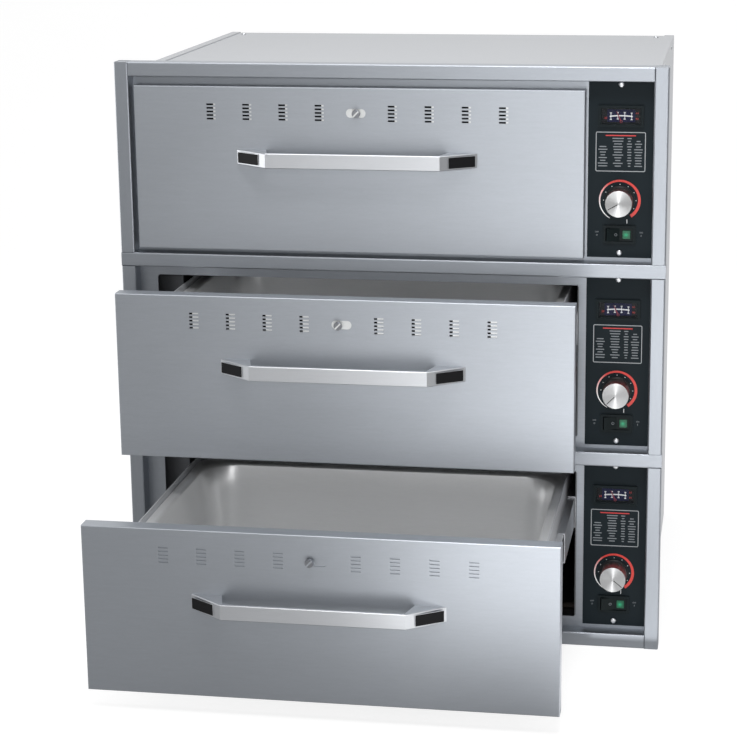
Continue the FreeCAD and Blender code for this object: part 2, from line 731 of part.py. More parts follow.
def slide_channels(name, level):
    """The fixed outer member of both slides."""
    body = start_body(name, 0, 0, level + S.slide_level)
    for web, face in ((left_slide, 1), (bay_wall, -1)):
        slide_member(body, web, S.slide_thick - 0.7, S.slide_height / 2, S.slide_gauge,
                     SLIDE_START, S.slide_length, face)


def slide_runners(name, level, opened):
    """The intermediate member of both slides, which runs half as far as the drawer."""
    body = start_body(name, 0, size(-opened / 2), level + S.slide_level)
    inset = S.slide_gauge + 0.5
    for web, face in ((left_slide, 1), (bay_wall, -1)):
        slide_member(body, web + face * inset, S.slide_thick - 3.4, S.slide_height / 2 - inset, S.slide_gauge,
                     SLIDE_START, S.slide_length - 30, face)


def drawer_carrier(name, level, opened):
    """The welded carrier: inner front sheet, ledged side plates, back sheet and inner slide members."""
    body = start_body(name, 0, size(-opened), level)
    gauge = S.carrier_gauge
    liner_back = S.front_depth
    liner = start_sketch(body, "XZ_Plane", S.plate_gauge - liner_back)
    rim = S.front_gauge + FIT
    rectangle(liner, rim - S.front_left, S.front_bottom + rim, S.front_width - 2 * rim, S.front_height - 2 * rim)
    extrude(body, liner, S.plate_gauge, reverse=True)
    half = S.pan_length / 2 + S.carrier_gap
    ledge = S.pan_level - S.pan_gauge
    for face in (-1, 1):
        inner, outer = face * half - S.pan_centre, face * (half + gauge) - S.pan_centre
        tip = face * (half - LEDGE) - S.pan_centre
        side = start_sketch(body, "XZ_Plane", -liner_back)
        outline(side, [
            (outer, CARRIER_LOW), (inner, CARRIER_LOW), (inner, ledge - gauge), (tip, ledge - gauge),
            (tip, ledge), (inner, ledge), (inner, ledge + 9), (outer, ledge + 9)])
        extrude(body, side, S.carrier_length, reverse=True)
    rear = start_sketch(body, "XZ_Plane", -(liner_back + S.carrier_length))
    rectangle(rear, -half - gauge - S.pan_centre, CARRIER_LOW, 2 * (half + gauge), ledge + 9 - CARRIER_LOW)
    extrude(body, rear, gauge, reverse=True)
    inset = 2 * (S.slide_gauge + 0.5)
    for face in (-1, 1):
        web = face * (half + gauge) - S.pan_centre
        drawing = start_sketch(body, "XZ_Plane", -liner_back)
        reach = face * (S.slide_thick - 3.8)
        tall = S.slide_height / 2 - inset
        tip, wall = web + reach, web + face * S.slide_gauge
        middle = S.slide_level
        outline(drawing, [
            (web, middle - tall), (tip, middle - tall), (tip, middle - tall + S.slide_gauge),
            (wall, middle - tall + S.slide_gauge), (wall, middle + tall - S.slide_gauge),
            (tip, middle + tall - S.slide_gauge), (tip, middle + tall), (web, middle + tall)])
        extrude(body, drawing, S.carrier_length, reverse=True)


def vent_slots(body, plane_offset, width, height, depth, centre, level):
    """Both rows of vent groups: five slots each, repeated along the front on either side of the middle."""
    drawing = start_sketch(body, "XZ_Plane", plane_offset)
    for first in (-VENTS_PER_SIDE, 1):
        for row in range(SLOTS_PER_VENT):
            up = level + (row - (SLOTS_PER_VENT - 1) / 2) * S.vent_slot_pitch
            rectangle(drawing, centre + first * S.vent_pitch - width / 2, up - height / 2, width, height)
    step = cut(body, drawing, depth)
    repeat(body, [step], "X_Axis", S.vent_pitch, VENTS_PER_SIDE)


def drawer_front(name, level, opened):
    """The folded front: a rounded box hollowed from behind, with vent slots and the damper knob's slot."""
    body = start_body(name, 0, size(-opened), level)
    drawing = start_sketch(body, "XZ_Plane")
    rectangle(drawing, -S.front_left, S.front_bottom, S.front_width, S.front_height)
    extrude(body, drawing, S.front_depth, reverse=True)
    bevel_edges(body, 0.9, lambda middle, along: near(middle.y, 0))
    hollow = start_sketch(body, "XZ_Plane", -S.front_depth)
    gauge = S.front_gauge
    rectangle(hollow, gauge - S.front_left, S.front_bottom + gauge, S.front_width - 2 * gauge,
              S.front_height - 2 * gauge)
    cut(body, hollow, S.front_depth - gauge, reverse=True)
    middle = S.front_width / 2 - S.front_left
    vent_level = S.front_bottom + S.front_height - S.vent_drop
    slot = start_sketch(body, "XZ_Plane", 1)
    rounded_rectangle(slot, middle - S.knob_slot_width / 2, vent_level - S.knob_slot_height / 2,
                      S.knob_slot_width, S.knob_slot_height, S.knob_slot_height / 2 - 0.1)
    cut(body, slot, gauge + 1)
    guide = start_sketch(body, "XZ_Plane", -gauge)
    for low in (vent_level - DAMPER_HALF - 0.2 - 3, vent_level + DAMPER_HALF + 0.2):
        rectangle(guide, middle - GUIDE_LENGTH / 2, low, GUIDE_LENGTH, 3)
    extrude(body, guide, 2.4, reverse=True)
    vent_slots(body, 1, S.vent_width, S.vent_slot_height, gauge + 1, middle, vent_level)


def vent_damper(name, level, opened, shift):
    """The slotted plate that slides behind the vents, with the knob that moves it."""
    middle = S.front_width / 2 - S.front_left + shift
    vent_level = S.front_bottom + S.front_height - S.vent_drop
    body = start_body(name, middle, S.front_gauge + 0.1 - size(opened), level + vent_level)
    half = VENTS_PER_SIDE * S.vent_pitch + 25
    drawing = start_sketch(body, "XZ_Plane")
    rectangle(drawing, -half, -DAMPER_HALF, 2 * half, 2 * DAMPER_HALF)
    extrude(body, drawing, 1, reverse=True)
    stem = start_sketch(body, "XZ_Plane")
    circle(stem, 0, 0, S.damper_stem_radius)
    extrude(body, stem, S.damper_knob_reach)
    head = start_sketch(body, "XZ_Plane", S.damper_knob_reach - 3)
    circle(head, 0, 0, S.damper_knob_radius)
    extrude(body, head, 4)
    window = start_sketch(body, "XZ_Plane")
    tall = SLOTS_PER_VENT * S.vent_slot_pitch
    for first in (-VENTS_PER_SIDE, 1):
        rectangle(window, first * S.vent_pitch - S.damper_window_offset - S.damper_window / 2, -tall / 2,
                  S.damper_window, tall)
    step = cut(body, window, 2)
    repeat(body, [step], "X_Axis", S.vent_pitch, VENTS_PER_SIDE)


def food_pan(name, level, opened):
    """A full-size pan: a tapered bowl with round corners, hollowed to sheet thickness, and a flat flange."""
    back = S.pan_front + S.pan_width / 2 - opened
    body = start_body(name, -S.pan_centre, back, level + S.pan_level)
    length, width = S.pan_length - 2 * S.pan_flange, S.pan_width - 2 * S.pan_flange
    bowl = start_sketch(body, "XY_Plane")
    rounded_rectangle(bowl, -length / 2, -width / 2, length, width, S.pan_corner)
    extrude(body, bowl, S.pan_deep, reverse=True, taper=-2.5)
    gauge = S.pan_gauge
    inside = start_sketch(body, "XY_Plane")
    rounded_rectangle(inside, gauge - length / 2, gauge - width / 2, length - 2 * gauge, width - 2 * gauge,
                      S.pan_corner - gauge)
    cut(body, inside, S.pan_deep - gauge, taper=-2.5)
    bevel_edges(body, 13.6, lambda middle, along: near(middle.z, (gauge - S.pan_deep).value))
    bevel_edges(body, 14, lambda middle, along: near(middle.z, -S.pan_deep.value))
    rim = start_sketch(body, "XY_Plane")
    rounded_rectangle(rim, -S.pan_length / 2, -S.pan_width / 2, S.pan_length, S.pan_width, 14)
    inner = S.pan_gauge
    rounded_rectangle(rim, inner - length / 2, inner - width / 2, length - 2 * inner, width - 2 * inner,
                      S.pan_corner - inner)
    extrude(body, rim, S.pan_gauge, reverse=True)


def drawer_handle(name, level, opened):
    """A flat bar between two wedge-shaped ends that stand on the drawer front."""
    middle = S.front_width / 2 - S.front_left
    up = level + S.front_bottom + S.front_height - S.handle_drop
    body = start_body(name, middle, size(-opened), up)
    end, bar, reach, gauge = S.handle_length / 2, S.handle_bar / 2, S.handle_reach, S.handle_gauge
    foot = end - S.handle_foot
    drawing = start_sketch(body, "XY_Plane", -S.handle_height / 2)
    outline(drawing, [
        (-end, 0), (-bar, -reach), (bar, -reach), (end, 0), (foot, 0), (bar - gauge / 2, gauge - reach),
        (gauge / 2 - bar, gauge - reach), (-foot, 0)])
    extrude(body, drawing, S.handle_height)
    outside = size(bar).value
    bevel_edges(body, 0.8, lambda middle, along: abs(along.z) < 0.1 and middle.y < -1 and (
        near(middle.y, -reach.value) or abs(middle.x) > outside + 1 and abs(along.x) > abs(along.y)
        and not near(middle.y, gauge.value - reach.value)))


# ---------------------------------------------------------------- fasteners

def screw_head(radius, point, outward):
    """A bevelled screw head with its flat back on a face at a point."""
    corners = [FreeCAD.Vector(radius * math.cos(math.radians(30 * step)),
                              radius * math.sin(math.radians(30 * step)), 0) for step in range(13)]
    rings = [Part.makePolygon(corners),
             Part.makePolygon([corner * 0.72 + FreeCAD.Vector(0, 0, 2) for corner in corners])]
    head = Part.makeLoft(rings, True, True)
    head.Placement = FreeCAD.Placement(point, FreeCAD.Rotation(FreeCAD.Vector(0, 0, 1), outward))
    return head


def screw_group(name, seats):
    """A node of separate identical screws at (point, outward direction) seats."""
    group = doc.addObject("Part::Feature", name)
    group.Label = name
    group.Shape = Part.makeCompound([screw_head(S.screw_radius.value, point, outward) for point, outward in seats])
    place(group)


def panel_screws():
    seats = []
    for level in range(3):
        for up in PANEL_SCREW_LEVELS:
            point = FreeCAD.Vector(S.controls_centre.value, (S.trim_depth - S.panel_gauge).value,
                                   up + level * S.module_pitch.value)
            seats.append((point, FreeCAD.Vector(0, -1, 0)))
    screw_group("panel_screws", seats)


def cabinet_screws():
    seats = []
    for side in (-1, 1):
        for depth in TOP_SCREW_DEPTHS:
            point = FreeCAD.Vector(side * TOP_SCREW_ACROSS, depth, (body_top - S.plate_gauge).value)
            seats.append((point, FreeCAD.Vector(0, 0, 1)))
        for depth in SIDE_SCREW_DEPTHS:
            point = FreeCAD.Vector(side * body_half.value, depth, (body_top - SIDE_SCREW_DROP).value)
            seats.append((point, FreeCAD.Vector(side, 0, 0)))
    for across in (-BACK_SCREW_ACROSS, BACK_SCREW_ACROSS):
        for level in BACK_SCREW_LEVELS:
            seats.append((FreeCAD.Vector(across, S.overall_depth.value, level), FreeCAD.Vector(0, 1, 0)))
    screw_group("cabinet_screws", seats)


# ---------------------------------------------------------------- shared places

FIT = 0.2
FOLD = 12
FLANGE_HEM = size(14.5)
BAY_FOLD = 8
SIDE_SCREW_DEPTHS = (220, 480)
TOP_SCREW_DEPTHS = (62, 562)
TOP_SCREW_ACROSS = 332
SIDE_SCREW_DROP = 9
BACK_SCREW_ACROSS = 350
BACK_SCREW_LEVELS = (20, 400, 770)
PANEL_SCREW_LEVELS = (257, 31)
GLAND_ACROSS = 305
GLAND_LEVEL = 60
BRACKET_DEPTHS = (60, 400)
BRACKET_WIDTH = 35
BRACKET_HEIGHT = 220
HEATER_FIRST = size(95)
HEATER_STEP = size(68)
HEATER_PASSES = 6
HEATER_LEFT = size(-250)
HEATER_RIGHT = size(190)
HEATER_END = size(285)
SLIDE_START = 30
LEDGE = 10
CARRIER_LOW = 160
DAMPER_HALF = 16
GUIDE_LENGTH = 440
GAUGE_PROUD = 3.5
GAUGE_BODY_WIDTH = size(54)
GAUGE_BODY_HEIGHT = size(23)
GLASS_WIDTH = size(54)
GLASS_HEIGHT = size(23)
GLASS_SEAT = 1.2
WELL_WIDTH = size(51)
WELL_HEIGHT = size(20)
WELL_DEEP = 7
NEEDLE_LEVEL = -7.5
NEEDLE_POST = 1
NEEDLE_HUB = 1.9
NEEDLE_LENGTH = 14.5
SWITCH_PROUD = 2.5
SWITCH_BODY_WIDTH = size(39)
SWITCH_BODY_HEIGHT = size(21)
ROCKER_WELL_WIDTH = size(36.4)
ROCKER_WELL_HEIGHT = size(18)
ROCKER_WIDTH = 34.8
ROCKER_PIVOT = 1.5
ROCKER_PIN = 1.2

carrier_half = S.pan_length / 2 + S.carrier_gap + S.carrier_gauge
left_slide = -(carrier_half + S.slide_thick + S.pan_centre)
bay_wall = carrier_half + S.slide_thick - S.pan_centre

trim_stiles("trim_stiles_left", -half_width)
trim_stiles("trim_stiles_right", half_width - S.trim_width)
trim_rails()
face_plate()
side_panel("left_side_panel", -1)
side_panel("right_side_panel", 1)
top_panel()
back_panel()
base_panel()
drawer_decks()
control_bay_wall()
slide_brackets()
heating_elements()
cord_gland()
gauge_glasses()
thermostats()
panel_screws()
cabinet_screws()
for module, order in MODULES.items():
    level = order * S.module_pitch
    opened = OPENED[module]
    control_panel("control_panel_" + module, level)
    gauge_case("gauge_case_" + module, level)
    gauge_needle("gauge_needle_" + module, level, -25)
    thermostat_knob("thermostat_knob_" + module, level, KNOB_TURN[module])
    switch_bezel("switch_bezel_" + module, level)
    switch_rocker("switch_rocker_" + module, level, ROCKER_TILT)
    slide_channels("slide_channels_" + module, level)
    slide_runners("slide_runners_" + module, level, opened)
    drawer_front("drawer_front_" + module, level, opened)
    drawer_carrier("drawer_carrier_" + module, level, opened)
    food_pan("food_pan_" + module, level, opened)
    drawer_handle("drawer_handle_" + module, level, opened)
    vent_damper("vent_damper_" + module, level, opened, DAMPER_SHIFT[module])

doc.recompute()
nodes = [item for item in doc.Objects
         if item.TypeId == "PartDesign::Body" or item.Label in ("panel_screws", "cabinet_screws")]
for item in doc.Objects:
    if "Invalid" in item.State or "Error" in item.State:
        raise RuntimeError("%s did not build" % item.Name)
for item in nodes:
    if item.Shape.isNull() or not item.Shape.isValid():
        raise RuntimeError("%s has no valid shape" % item.Label)
for item in nodes:
    item.Shape.exportStep("parts/%s.step" % item.Label)
    box = item.Shape.BoundBox
    print("%-26s %2d solids  x %7.1f %7.1f  y %7.1f %7.1f  z %7.1f %7.1f" % (
        item.Label, len(item.Shape.Solids), box.XMin, box.XMax, box.YMin, box.YMax, box.ZMin, box.ZMax))
print(len(nodes), "nodes")
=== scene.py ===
import math

import bmesh
import bpy
from mathutils import Matrix, Vector


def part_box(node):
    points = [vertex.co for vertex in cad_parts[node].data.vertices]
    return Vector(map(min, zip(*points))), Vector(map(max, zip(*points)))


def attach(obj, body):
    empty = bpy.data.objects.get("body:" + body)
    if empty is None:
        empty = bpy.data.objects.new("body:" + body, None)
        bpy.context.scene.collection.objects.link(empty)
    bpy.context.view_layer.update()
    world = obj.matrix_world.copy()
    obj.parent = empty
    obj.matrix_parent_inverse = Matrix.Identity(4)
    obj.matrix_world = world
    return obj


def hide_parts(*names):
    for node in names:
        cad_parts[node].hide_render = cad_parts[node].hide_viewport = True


bl_info = {
    "name": "Warming drawer cabinet",
    "version": (1, 0, 0),
    "blender": (4, 5, 0),
    "location": "View3D > Sidebar > Warmer",
    "description": "Finishes and small pieces for a three-high warming drawer cabinet",
    "category": "Object",
}

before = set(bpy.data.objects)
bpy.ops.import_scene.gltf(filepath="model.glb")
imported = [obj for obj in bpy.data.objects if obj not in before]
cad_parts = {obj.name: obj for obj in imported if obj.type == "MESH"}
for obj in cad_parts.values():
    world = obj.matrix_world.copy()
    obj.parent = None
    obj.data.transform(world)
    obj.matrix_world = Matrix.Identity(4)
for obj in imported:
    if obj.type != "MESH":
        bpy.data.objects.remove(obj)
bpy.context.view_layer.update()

MODULES = ("bottom", "middle", "top")
CABINET = "cabinet"
# Degrees clockwise from the top, as seen from the front: the heat scale's ends, and where the knobs point.
SCALE_START, SCALE_END = 208.0, 505.0
KNOB_TURNS = {"bottom": 130.0, "middle": 225.0, "top": 240.0}
# How fine the drawn grain is along X, Y and Z, for lines that run across, upright, and front to back.
ACROSS, UPRIGHT, DEEP = (2.5, 22.0, 22.0), (22.0, 22.0, 2.5), (22.0, 2.5, 22.0)
# How far printed marks stand out: broad ones, and fine ones.
BROAD_PRINT, FINE_PRINT = 0.00016, 0.00012


# ---------------------------------------------------------------- shader groups

def group_tree(name, inputs, outputs):
    """A new shader group with (name, kind, default) sockets; returns it with its end nodes."""
    tree = bpy.data.node_groups.new(name, "ShaderNodeTree")
    for label, kind, default in inputs:
        socket = tree.interface.new_socket(name=label, in_out="INPUT", socket_type=kind)
        if default is not None:
            socket.default_value = default
    for label, kind in outputs:
        tree.interface.new_socket(name=label, in_out="OUTPUT", socket_type=kind)
    return tree, tree.nodes.new("NodeGroupInput"), tree.nodes.new("NodeGroupOutput")


def math_node(tree, operation, *values, clamp=False):
    """The output of a new Math node; each value is a number or another node's output."""
    node = tree.nodes.new("ShaderNodeMath")
    node.operation = operation
    node.use_clamp = clamp
    feed(tree, node, values)
    return node.outputs[0]


def vector_node(tree, operation, *values):
    """The output of a new Vector Math node."""
    node = tree.nodes.new("ShaderNodeVectorMath")
    node.operation = operation
    feed(tree, node, values)
    return node.outputs[1 if operation in ("LENGTH", "DISTANCE", "DOT_PRODUCT") else 0]


def feed(tree, node, values):
    """Links or sets a node's inputs in their order."""
    for socket, value in zip(node.inputs, values):
        if isinstance(value, bpy.types.NodeSocket):
            tree.links.new(value, socket)
        else:
            socket.default_value = value


def mask_mix(tree, mask, outside, inside):
    """A colour that changes from one colour output to a fixed colour where the mask is 1."""
    mix = tree.nodes.new("ShaderNodeMix")
    mix.data_type = "RGBA"
    tree.links.new(mask, mix.inputs["Factor"])
    tree.links.new(outside, mix.inputs["A"])
    mix.inputs["B"].default_value = (*inside, 1.0)
    return mix.outputs["Result"]


def noise_node(tree, vector, scale, detail=2.0, roughness=0.5):
    """The grey output of a new Noise Texture node."""
    node = tree.nodes.new("ShaderNodeTexNoise")
    node.inputs["Detail"].default_value = detail
    node.inputs["Roughness"].default_value = roughness
    node.inputs["Scale"].default_value = scale
    tree.links.new(vector, node.inputs["Vector"])
    return node.outputs["Fac"]


def brushed_grain():
    """Fine lines drawn along one direction, with a broad soft haze; all values are around 0.5."""
    tree, entry, leave = group_tree("brushed_grain", [
        ("Position", "NodeSocketVector", None),
        ("Squeeze", "NodeSocketVector", (1.0, 60.0, 60.0)),
    ], [("Grain", "NodeSocketFloat"), ("Haze", "NodeSocketFloat")])
    drawn = vector_node(tree, "MULTIPLY", entry.outputs["Position"], entry.outputs["Squeeze"])
    fine = noise_node(tree, drawn, 60.0, detail=3.0, roughness=0.7)
    coarse = noise_node(tree, drawn, 14.0, roughness=0.6)
    mixed = math_node(tree, "MULTIPLY_ADD", fine, 0.6, math_node(tree, "MULTIPLY", coarse, 0.4))
    haze = noise_node(tree, entry.outputs["Position"], 3.2, roughness=0.45)
    tree.links.new(mixed, leave.inputs["Grain"])
    tree.links.new(haze, leave.inputs["Haze"])
    return tree


def fine_mottle():
    """A small even speckle for paint, moulded plastic and cast surfaces."""
    tree, entry, leave = group_tree("fine_mottle", [
        ("Position", "NodeSocketVector", None), ("Size", "NodeSocketFloat", 900.0),
    ], [("Speckle", "NodeSocketFloat"), ("Cloud", "NodeSocketFloat")])
    scaled = vector_node(tree, "SCALE", entry.outputs["Position"])
    tree.links.new(entry.outputs["Size"], scaled.node.inputs["Scale"])
    tree.links.new(noise_node(tree, scaled, 1.0, roughness=0.6), leave.inputs["Speckle"])
    tree.links.new(noise_node(tree, entry.outputs["Position"], 9.0, detail=3.0), leave.inputs["Cloud"])
    return tree


def ring_grain():
    """Lathe rings about an axis along Y through a centre, repeated up the cabinet."""
    tree, entry, leave = group_tree("ring_grain", [
        ("Position", "NodeSocketVector", None), ("Centre", "NodeSocketVector", None),
        ("Pitch", "NodeSocketFloat", 0.2625), ("Lines", "NodeSocketFloat", 4000.0),
    ], [("Rings", "NodeSocketFloat"), ("Sweep", "NodeSocketFloat"), ("Radius", "NodeSocketFloat")])
    offset = vector_node(tree, "SUBTRACT", entry.outputs["Position"], entry.outputs["Centre"])
    parts = tree.nodes.new("ShaderNodeSeparateXYZ")
    tree.links.new(offset, parts.inputs[0])
    half = math_node(tree, "MULTIPLY", entry.outputs["Pitch"], 0.5)
    wrapped = math_node(tree, "WRAP", parts.outputs["Z"], half, math_node(tree, "MULTIPLY", half, -1.0))
    radius = math_node(tree, "SQRT", math_node(
        tree, "ADD", math_node(tree, "MULTIPLY", parts.outputs["X"], parts.outputs["X"]),
        math_node(tree, "MULTIPLY", wrapped, wrapped)))
    rings = math_node(tree, "SINE", math_node(tree, "MULTIPLY", radius, entry.outputs["Lines"]))
    sweep = math_node(tree, "ARCTAN2", parts.outputs["X"], wrapped)
    tree.links.new(math_node(tree, "MULTIPLY_ADD", rings, 0.5, 0.5), leave.inputs["Rings"])
    tree.links.new(sweep, leave.inputs["Sweep"])
    tree.links.new(radius, leave.inputs["Radius"])
    return tree


def box_mask():
    """1 inside a box given by its centre and half sizes, and 0 outside it."""
    tree, entry, leave = group_tree("box_mask", [
        ("Position", "NodeSocketVector", None), ("Centre", "NodeSocketVector", None),
        ("Reach", "NodeSocketVector", None),
    ], [("Inside", "NodeSocketFloat")])
    away = vector_node(tree, "ABSOLUTE", vector_node(
        tree, "SUBTRACT", entry.outputs["Position"], entry.outputs["Centre"]))
    parts = tree.nodes.new("ShaderNodeSeparateXYZ")
    tree.links.new(vector_node(tree, "SUBTRACT", entry.outputs["Reach"], away), parts.inputs[0])
    least = math_node(tree, "MINIMUM", math_node(tree, "MINIMUM", parts.outputs["X"], parts.outputs["Y"]),
                      parts.outputs["Z"])
    tree.links.new(math_node(tree, "GREATER_THAN", least, 0.0), leave.inputs["Inside"])
    return tree


GROUPS = {}


def shared_group(maker):
    """The group that a maker function builds, built once and then kept for every material."""
    if maker.__name__ not in GROUPS:
        GROUPS[maker.__name__] = maker()
    return GROUPS[maker.__name__]


# ---------------------------------------------------------------- materials

class Finish:
    """A material under way: its tree, its Principled shader and its Object coordinates."""

    def __init__(self, name, tone, metallic=0.0, roughness=0.5, **constants):
        self.material = bpy.data.materials.new(name)
        self.material.use_nodes = True
        self.tree = self.material.node_tree
        self.shader = self.tree.nodes["Principled BSDF"]
        self.tone = (*tone[:3], 1.0)
        self.set(base_color=self.tone, metallic=metallic, roughness=roughness, **constants)
        self.roughness = roughness
        self.position = self.tree.nodes.new("ShaderNodeTexCoord").outputs["Object"]

    def set(self, **constants):
        """Sets shader sockets, named in lower case with underscores."""
        for label, value in constants.items():
            self.shader.inputs[label.replace("_", " ").title().replace("Ior", "IOR")].default_value = value

    def group(self, maker, **values):
        """Places a shared group that reads this material's Object coordinates."""
        node = self.tree.nodes.new("ShaderNodeGroup")
        node.node_tree = shared_group(maker)
        self.tree.links.new(self.position, node.inputs["Position"])
        for label, value in values.items():
            node.inputs[label].default_value = value
        return node

    def vary_tone(self, factor, low, high):
        """Base Color runs between two multiples of the tone as the factor goes from 0 to 1."""
        mix = self.tree.nodes.new("ShaderNodeMix")
        mix.data_type = "RGBA"
        self.tree.links.new(factor, mix.inputs["Factor"])
        mix.inputs["A"].default_value = [c * low for c in self.tone[:3]] + [1.0]
        mix.inputs["B"].default_value = [c * high for c in self.tone[:3]] + [1.0]
        self.tree.links.new(mix.outputs["Result"], self.shader.inputs["Base Color"])
        return mix.outputs["Result"]

    def vary_roughness(self, factor, spread):
        """Roughness runs a spread to either side of its set value as the factor goes from 0 to 1."""
        value = math_node(self.tree, "MULTIPLY_ADD", factor, 2 * spread, self.roughness - spread)
        self.tree.links.new(value, self.shader.inputs["Roughness"])

    def bump(self, height, strength, depth):
        """Raises the surface by a height mask, at most by the depth in metres."""
        node = self.tree.nodes.new("ShaderNodeBump")
        node.inputs["Strength"].default_value = strength
        node.inputs["Distance"].default_value = depth
        self.tree.links.new(height, node.inputs["Height"])
        self.tree.links.new(node.outputs["Normal"], self.shader.inputs["Normal"])


def brushed_steel(name, tone, roughness, squeeze, tone_spread=0.09, metallic=1.0):
    """Stainless sheet with drawn grain, uneven in tone and polish as rolled sheet is."""
    finish = Finish(name, tone, metallic, roughness)
    grain = finish.group(brushed_grain, Squeeze=squeeze)
    blend = math_node(finish.tree, "MULTIPLY_ADD", grain.outputs["Grain"], 0.65,
                      math_node(finish.tree, "MULTIPLY", grain.outputs["Haze"], 0.35))
    spread = math_node(finish.tree, "MULTIPLY_ADD", blend, 2.0, -0.5, clamp=True)
    finish.vary_tone(spread, 1 - tone_spread, 1 + tone_spread)
    finish.vary_roughness(grain.outputs["Haze"], 0.05)
    finish.bump(grain.outputs["Grain"], strength=0.35, depth=0.00002)
    return finish.material


def casing_steel(tone):
    """Casing sheet, bright outside, with painted shade on the faces that look into the cabinet."""
    finish = Finish("casing_steel", tone, metallic=1.0, roughness=0.45)
    grain = finish.group(brushed_grain, Squeeze=DEEP)
    bright = finish.vary_tone(grain.outputs["Grain"], 0.94, 1.06)
    lowest = Vector((*low("left_side_panel").xy, low("base_panel").z))
    highest = Vector((high("right_side_panel").x, high("back_panel").y, high("top_panel").z))
    # The faces inside the cabinet get a quarter of the tone: painted shade.
    skin, painted_shade = 0.0005, 0.25
    inside = finish.group(box_mask, Centre=(lowest + highest) / 2,
                          Reach=(highest - lowest) / 2 - Vector((skin, skin, skin)))
    blend = mask_mix(finish.tree, inside.outputs["Inside"], bright, [c * painted_shade for c in tone])
    finish.tree.links.new(blend, finish.shader.inputs["Base Color"])
    finish.bump(grain.outputs["Grain"], strength=0.35, depth=0.00002)
    return finish.material


def plain_paint(name, tone, roughness, metallic=0.0, speckle=0.0, size=900.0, **constants):
    """Paint or moulded plastic with a small speckle in its gloss and surface."""
    finish = Finish(name, tone, metallic, roughness, **constants)
    mottle = finish.group(fine_mottle, Size=size)
    finish.vary_tone(mottle.outputs["Cloud"], 0.9, 1.1)
    finish.vary_roughness(mottle.outputs["Cloud"], 0.05)
    if speckle:
        finish.bump(mottle.outputs["Speckle"], strength=speckle, depth=0.00005)
    return finish.material


def ink(name, tone):
    """Printed marks: flat ink, a little uneven in tone."""
    finish = Finish(name, tone, roughness=0.45)
    mottle = finish.group(fine_mottle, Size=1500.0)
    finish.vary_tone(mottle.outputs["Cloud"], 0.93, 1.07)
    return finish.material


def heat_ink(settings):
    """Ink that goes from white to red with the angle round the knob's axis."""
    finish = Finish("heat_scale_ink", settings.scale_hot, roughness=0.42)
    rings = finish.group(ring_grain, Centre=knob_centre("bottom"), Pitch=module_pitch())
    length = SCALE_END - SCALE_START
    share = math_node(finish.tree, "MULTIPLY_ADD", rings.outputs["Sweep"], 1 / math.radians(length),
                      (360 - SCALE_START) / length, clamp=True)
    ramp = finish.tree.nodes.new("ShaderNodeValToRGB")
    stops = ((0.14, settings.scale_cool), (0.40, settings.scale_hot))
    for element, (position, colour) in zip(ramp.color_ramp.elements, stops):
        element.position, element.color = position, (*colour, 1.0)
    finish.tree.links.new(share, ramp.inputs["Fac"])
    finish.tree.links.new(ramp.outputs["Color"], finish.shader.inputs["Base Color"])
    return finish.material


def turned_aluminium(settings):
    """The knob: a bright cap whose grain runs round its axis, in front of a black skirt."""
    finish = Finish("turned_aluminium", settings.knob_tone, metallic=1.0, roughness=settings.knob_roughness,
                    anisotropic=0.97)
    tree, link = finish.tree, finish.tree.links.new
    centre = knob_centre("bottom")
    rings = finish.group(ring_grain, Centre=centre, Pitch=module_pitch(), Lines=9000.0)
    parts = tree.nodes.new("ShaderNodeSeparateXYZ")
    link(finish.position, parts.inputs[0])
    skirt_height, skirt_tone, skirt_dulling = 0.0037, (0.012, 0.012, 0.013), 0.12
    skirt = math_node(tree, "GREATER_THAN", parts.outputs["Y"], centre[1] - skirt_height)
    bright = finish.vary_tone(rings.outputs["Rings"], 0.85, 1.1)
    link(mask_mix(tree, skirt, bright, skirt_tone), finish.shader.inputs["Base Color"])
    link(math_node(tree, "SUBTRACT", 1.0, skirt), finish.shader.inputs["Metallic"])
    link(math_node(tree, "MULTIPLY_ADD", skirt, skirt_dulling, settings.knob_roughness),
         finish.shader.inputs["Roughness"])
    spoke = tree.nodes.new("ShaderNodeCombineXYZ")
    link(math_node(tree, "SUBTRACT", parts.outputs["X"], centre[0]), spoke.inputs["X"])
    half = module_pitch() / 2
    link(math_node(tree, "WRAP", math_node(tree, "SUBTRACT", parts.outputs["Z"], centre[2]), half, -half),
         spoke.inputs["Z"])
    turned = tree.nodes.new("ShaderNodeVectorTransform")
    turned.vector_type, turned.convert_from, turned.convert_to = "VECTOR", "OBJECT", "WORLD"
    link(spoke.outputs[0], turned.inputs[0])
    link(turned.outputs[0], finish.shader.inputs["Tangent"])
    finish.bump(rings.outputs["Rings"], strength=0.25, depth=0.00003)
    return finish.material


def clear_pane():
    """Thin clear plastic: mostly see-through, with a faint gloss."""
    finish = Finish("gauge_pane", (0.02, 0.025, 0.03), roughness=0.25, alpha=0.07, specular_ior_level=0.2)
    mottle = finish.group(fine_mottle, Size=300.0)
    finish.vary_tone(mottle.outputs["Cloud"], 0.9, 1.1)
    return finish.material


def lit_lens(settings):
    """A green lens, brightest where its lamp stands behind it."""
    finish = Finish("lit_lens", settings.lens_tone, roughness=0.25, specular_ior_level=0.3)
    aside, lowered, reach = 0.0090, 0.0002, 0.0055
    across, _, _ = panel_place("bottom")
    rocker = middle("switch_rocker_bottom")
    lamp_place = (across + aside, low("switch_rocker_bottom").y, rocker.z - lowered)
    rings = finish.group(ring_grain, Centre=lamp_place, Pitch=module_pitch())
    near = math_node(finish.tree, "MULTIPLY_ADD", rings.outputs["Radius"], -1 / reach, 1.0, clamp=True)
    lamp = math_node(finish.tree, "POWER", near, 2.0)
    tone = finish.vary_tone(lamp, 0.4, 1.9)
    finish.tree.links.new(tone, finish.shader.inputs["Emission Color"])
    finish.set(emission_strength=settings.lens_glow)
    return finish.material


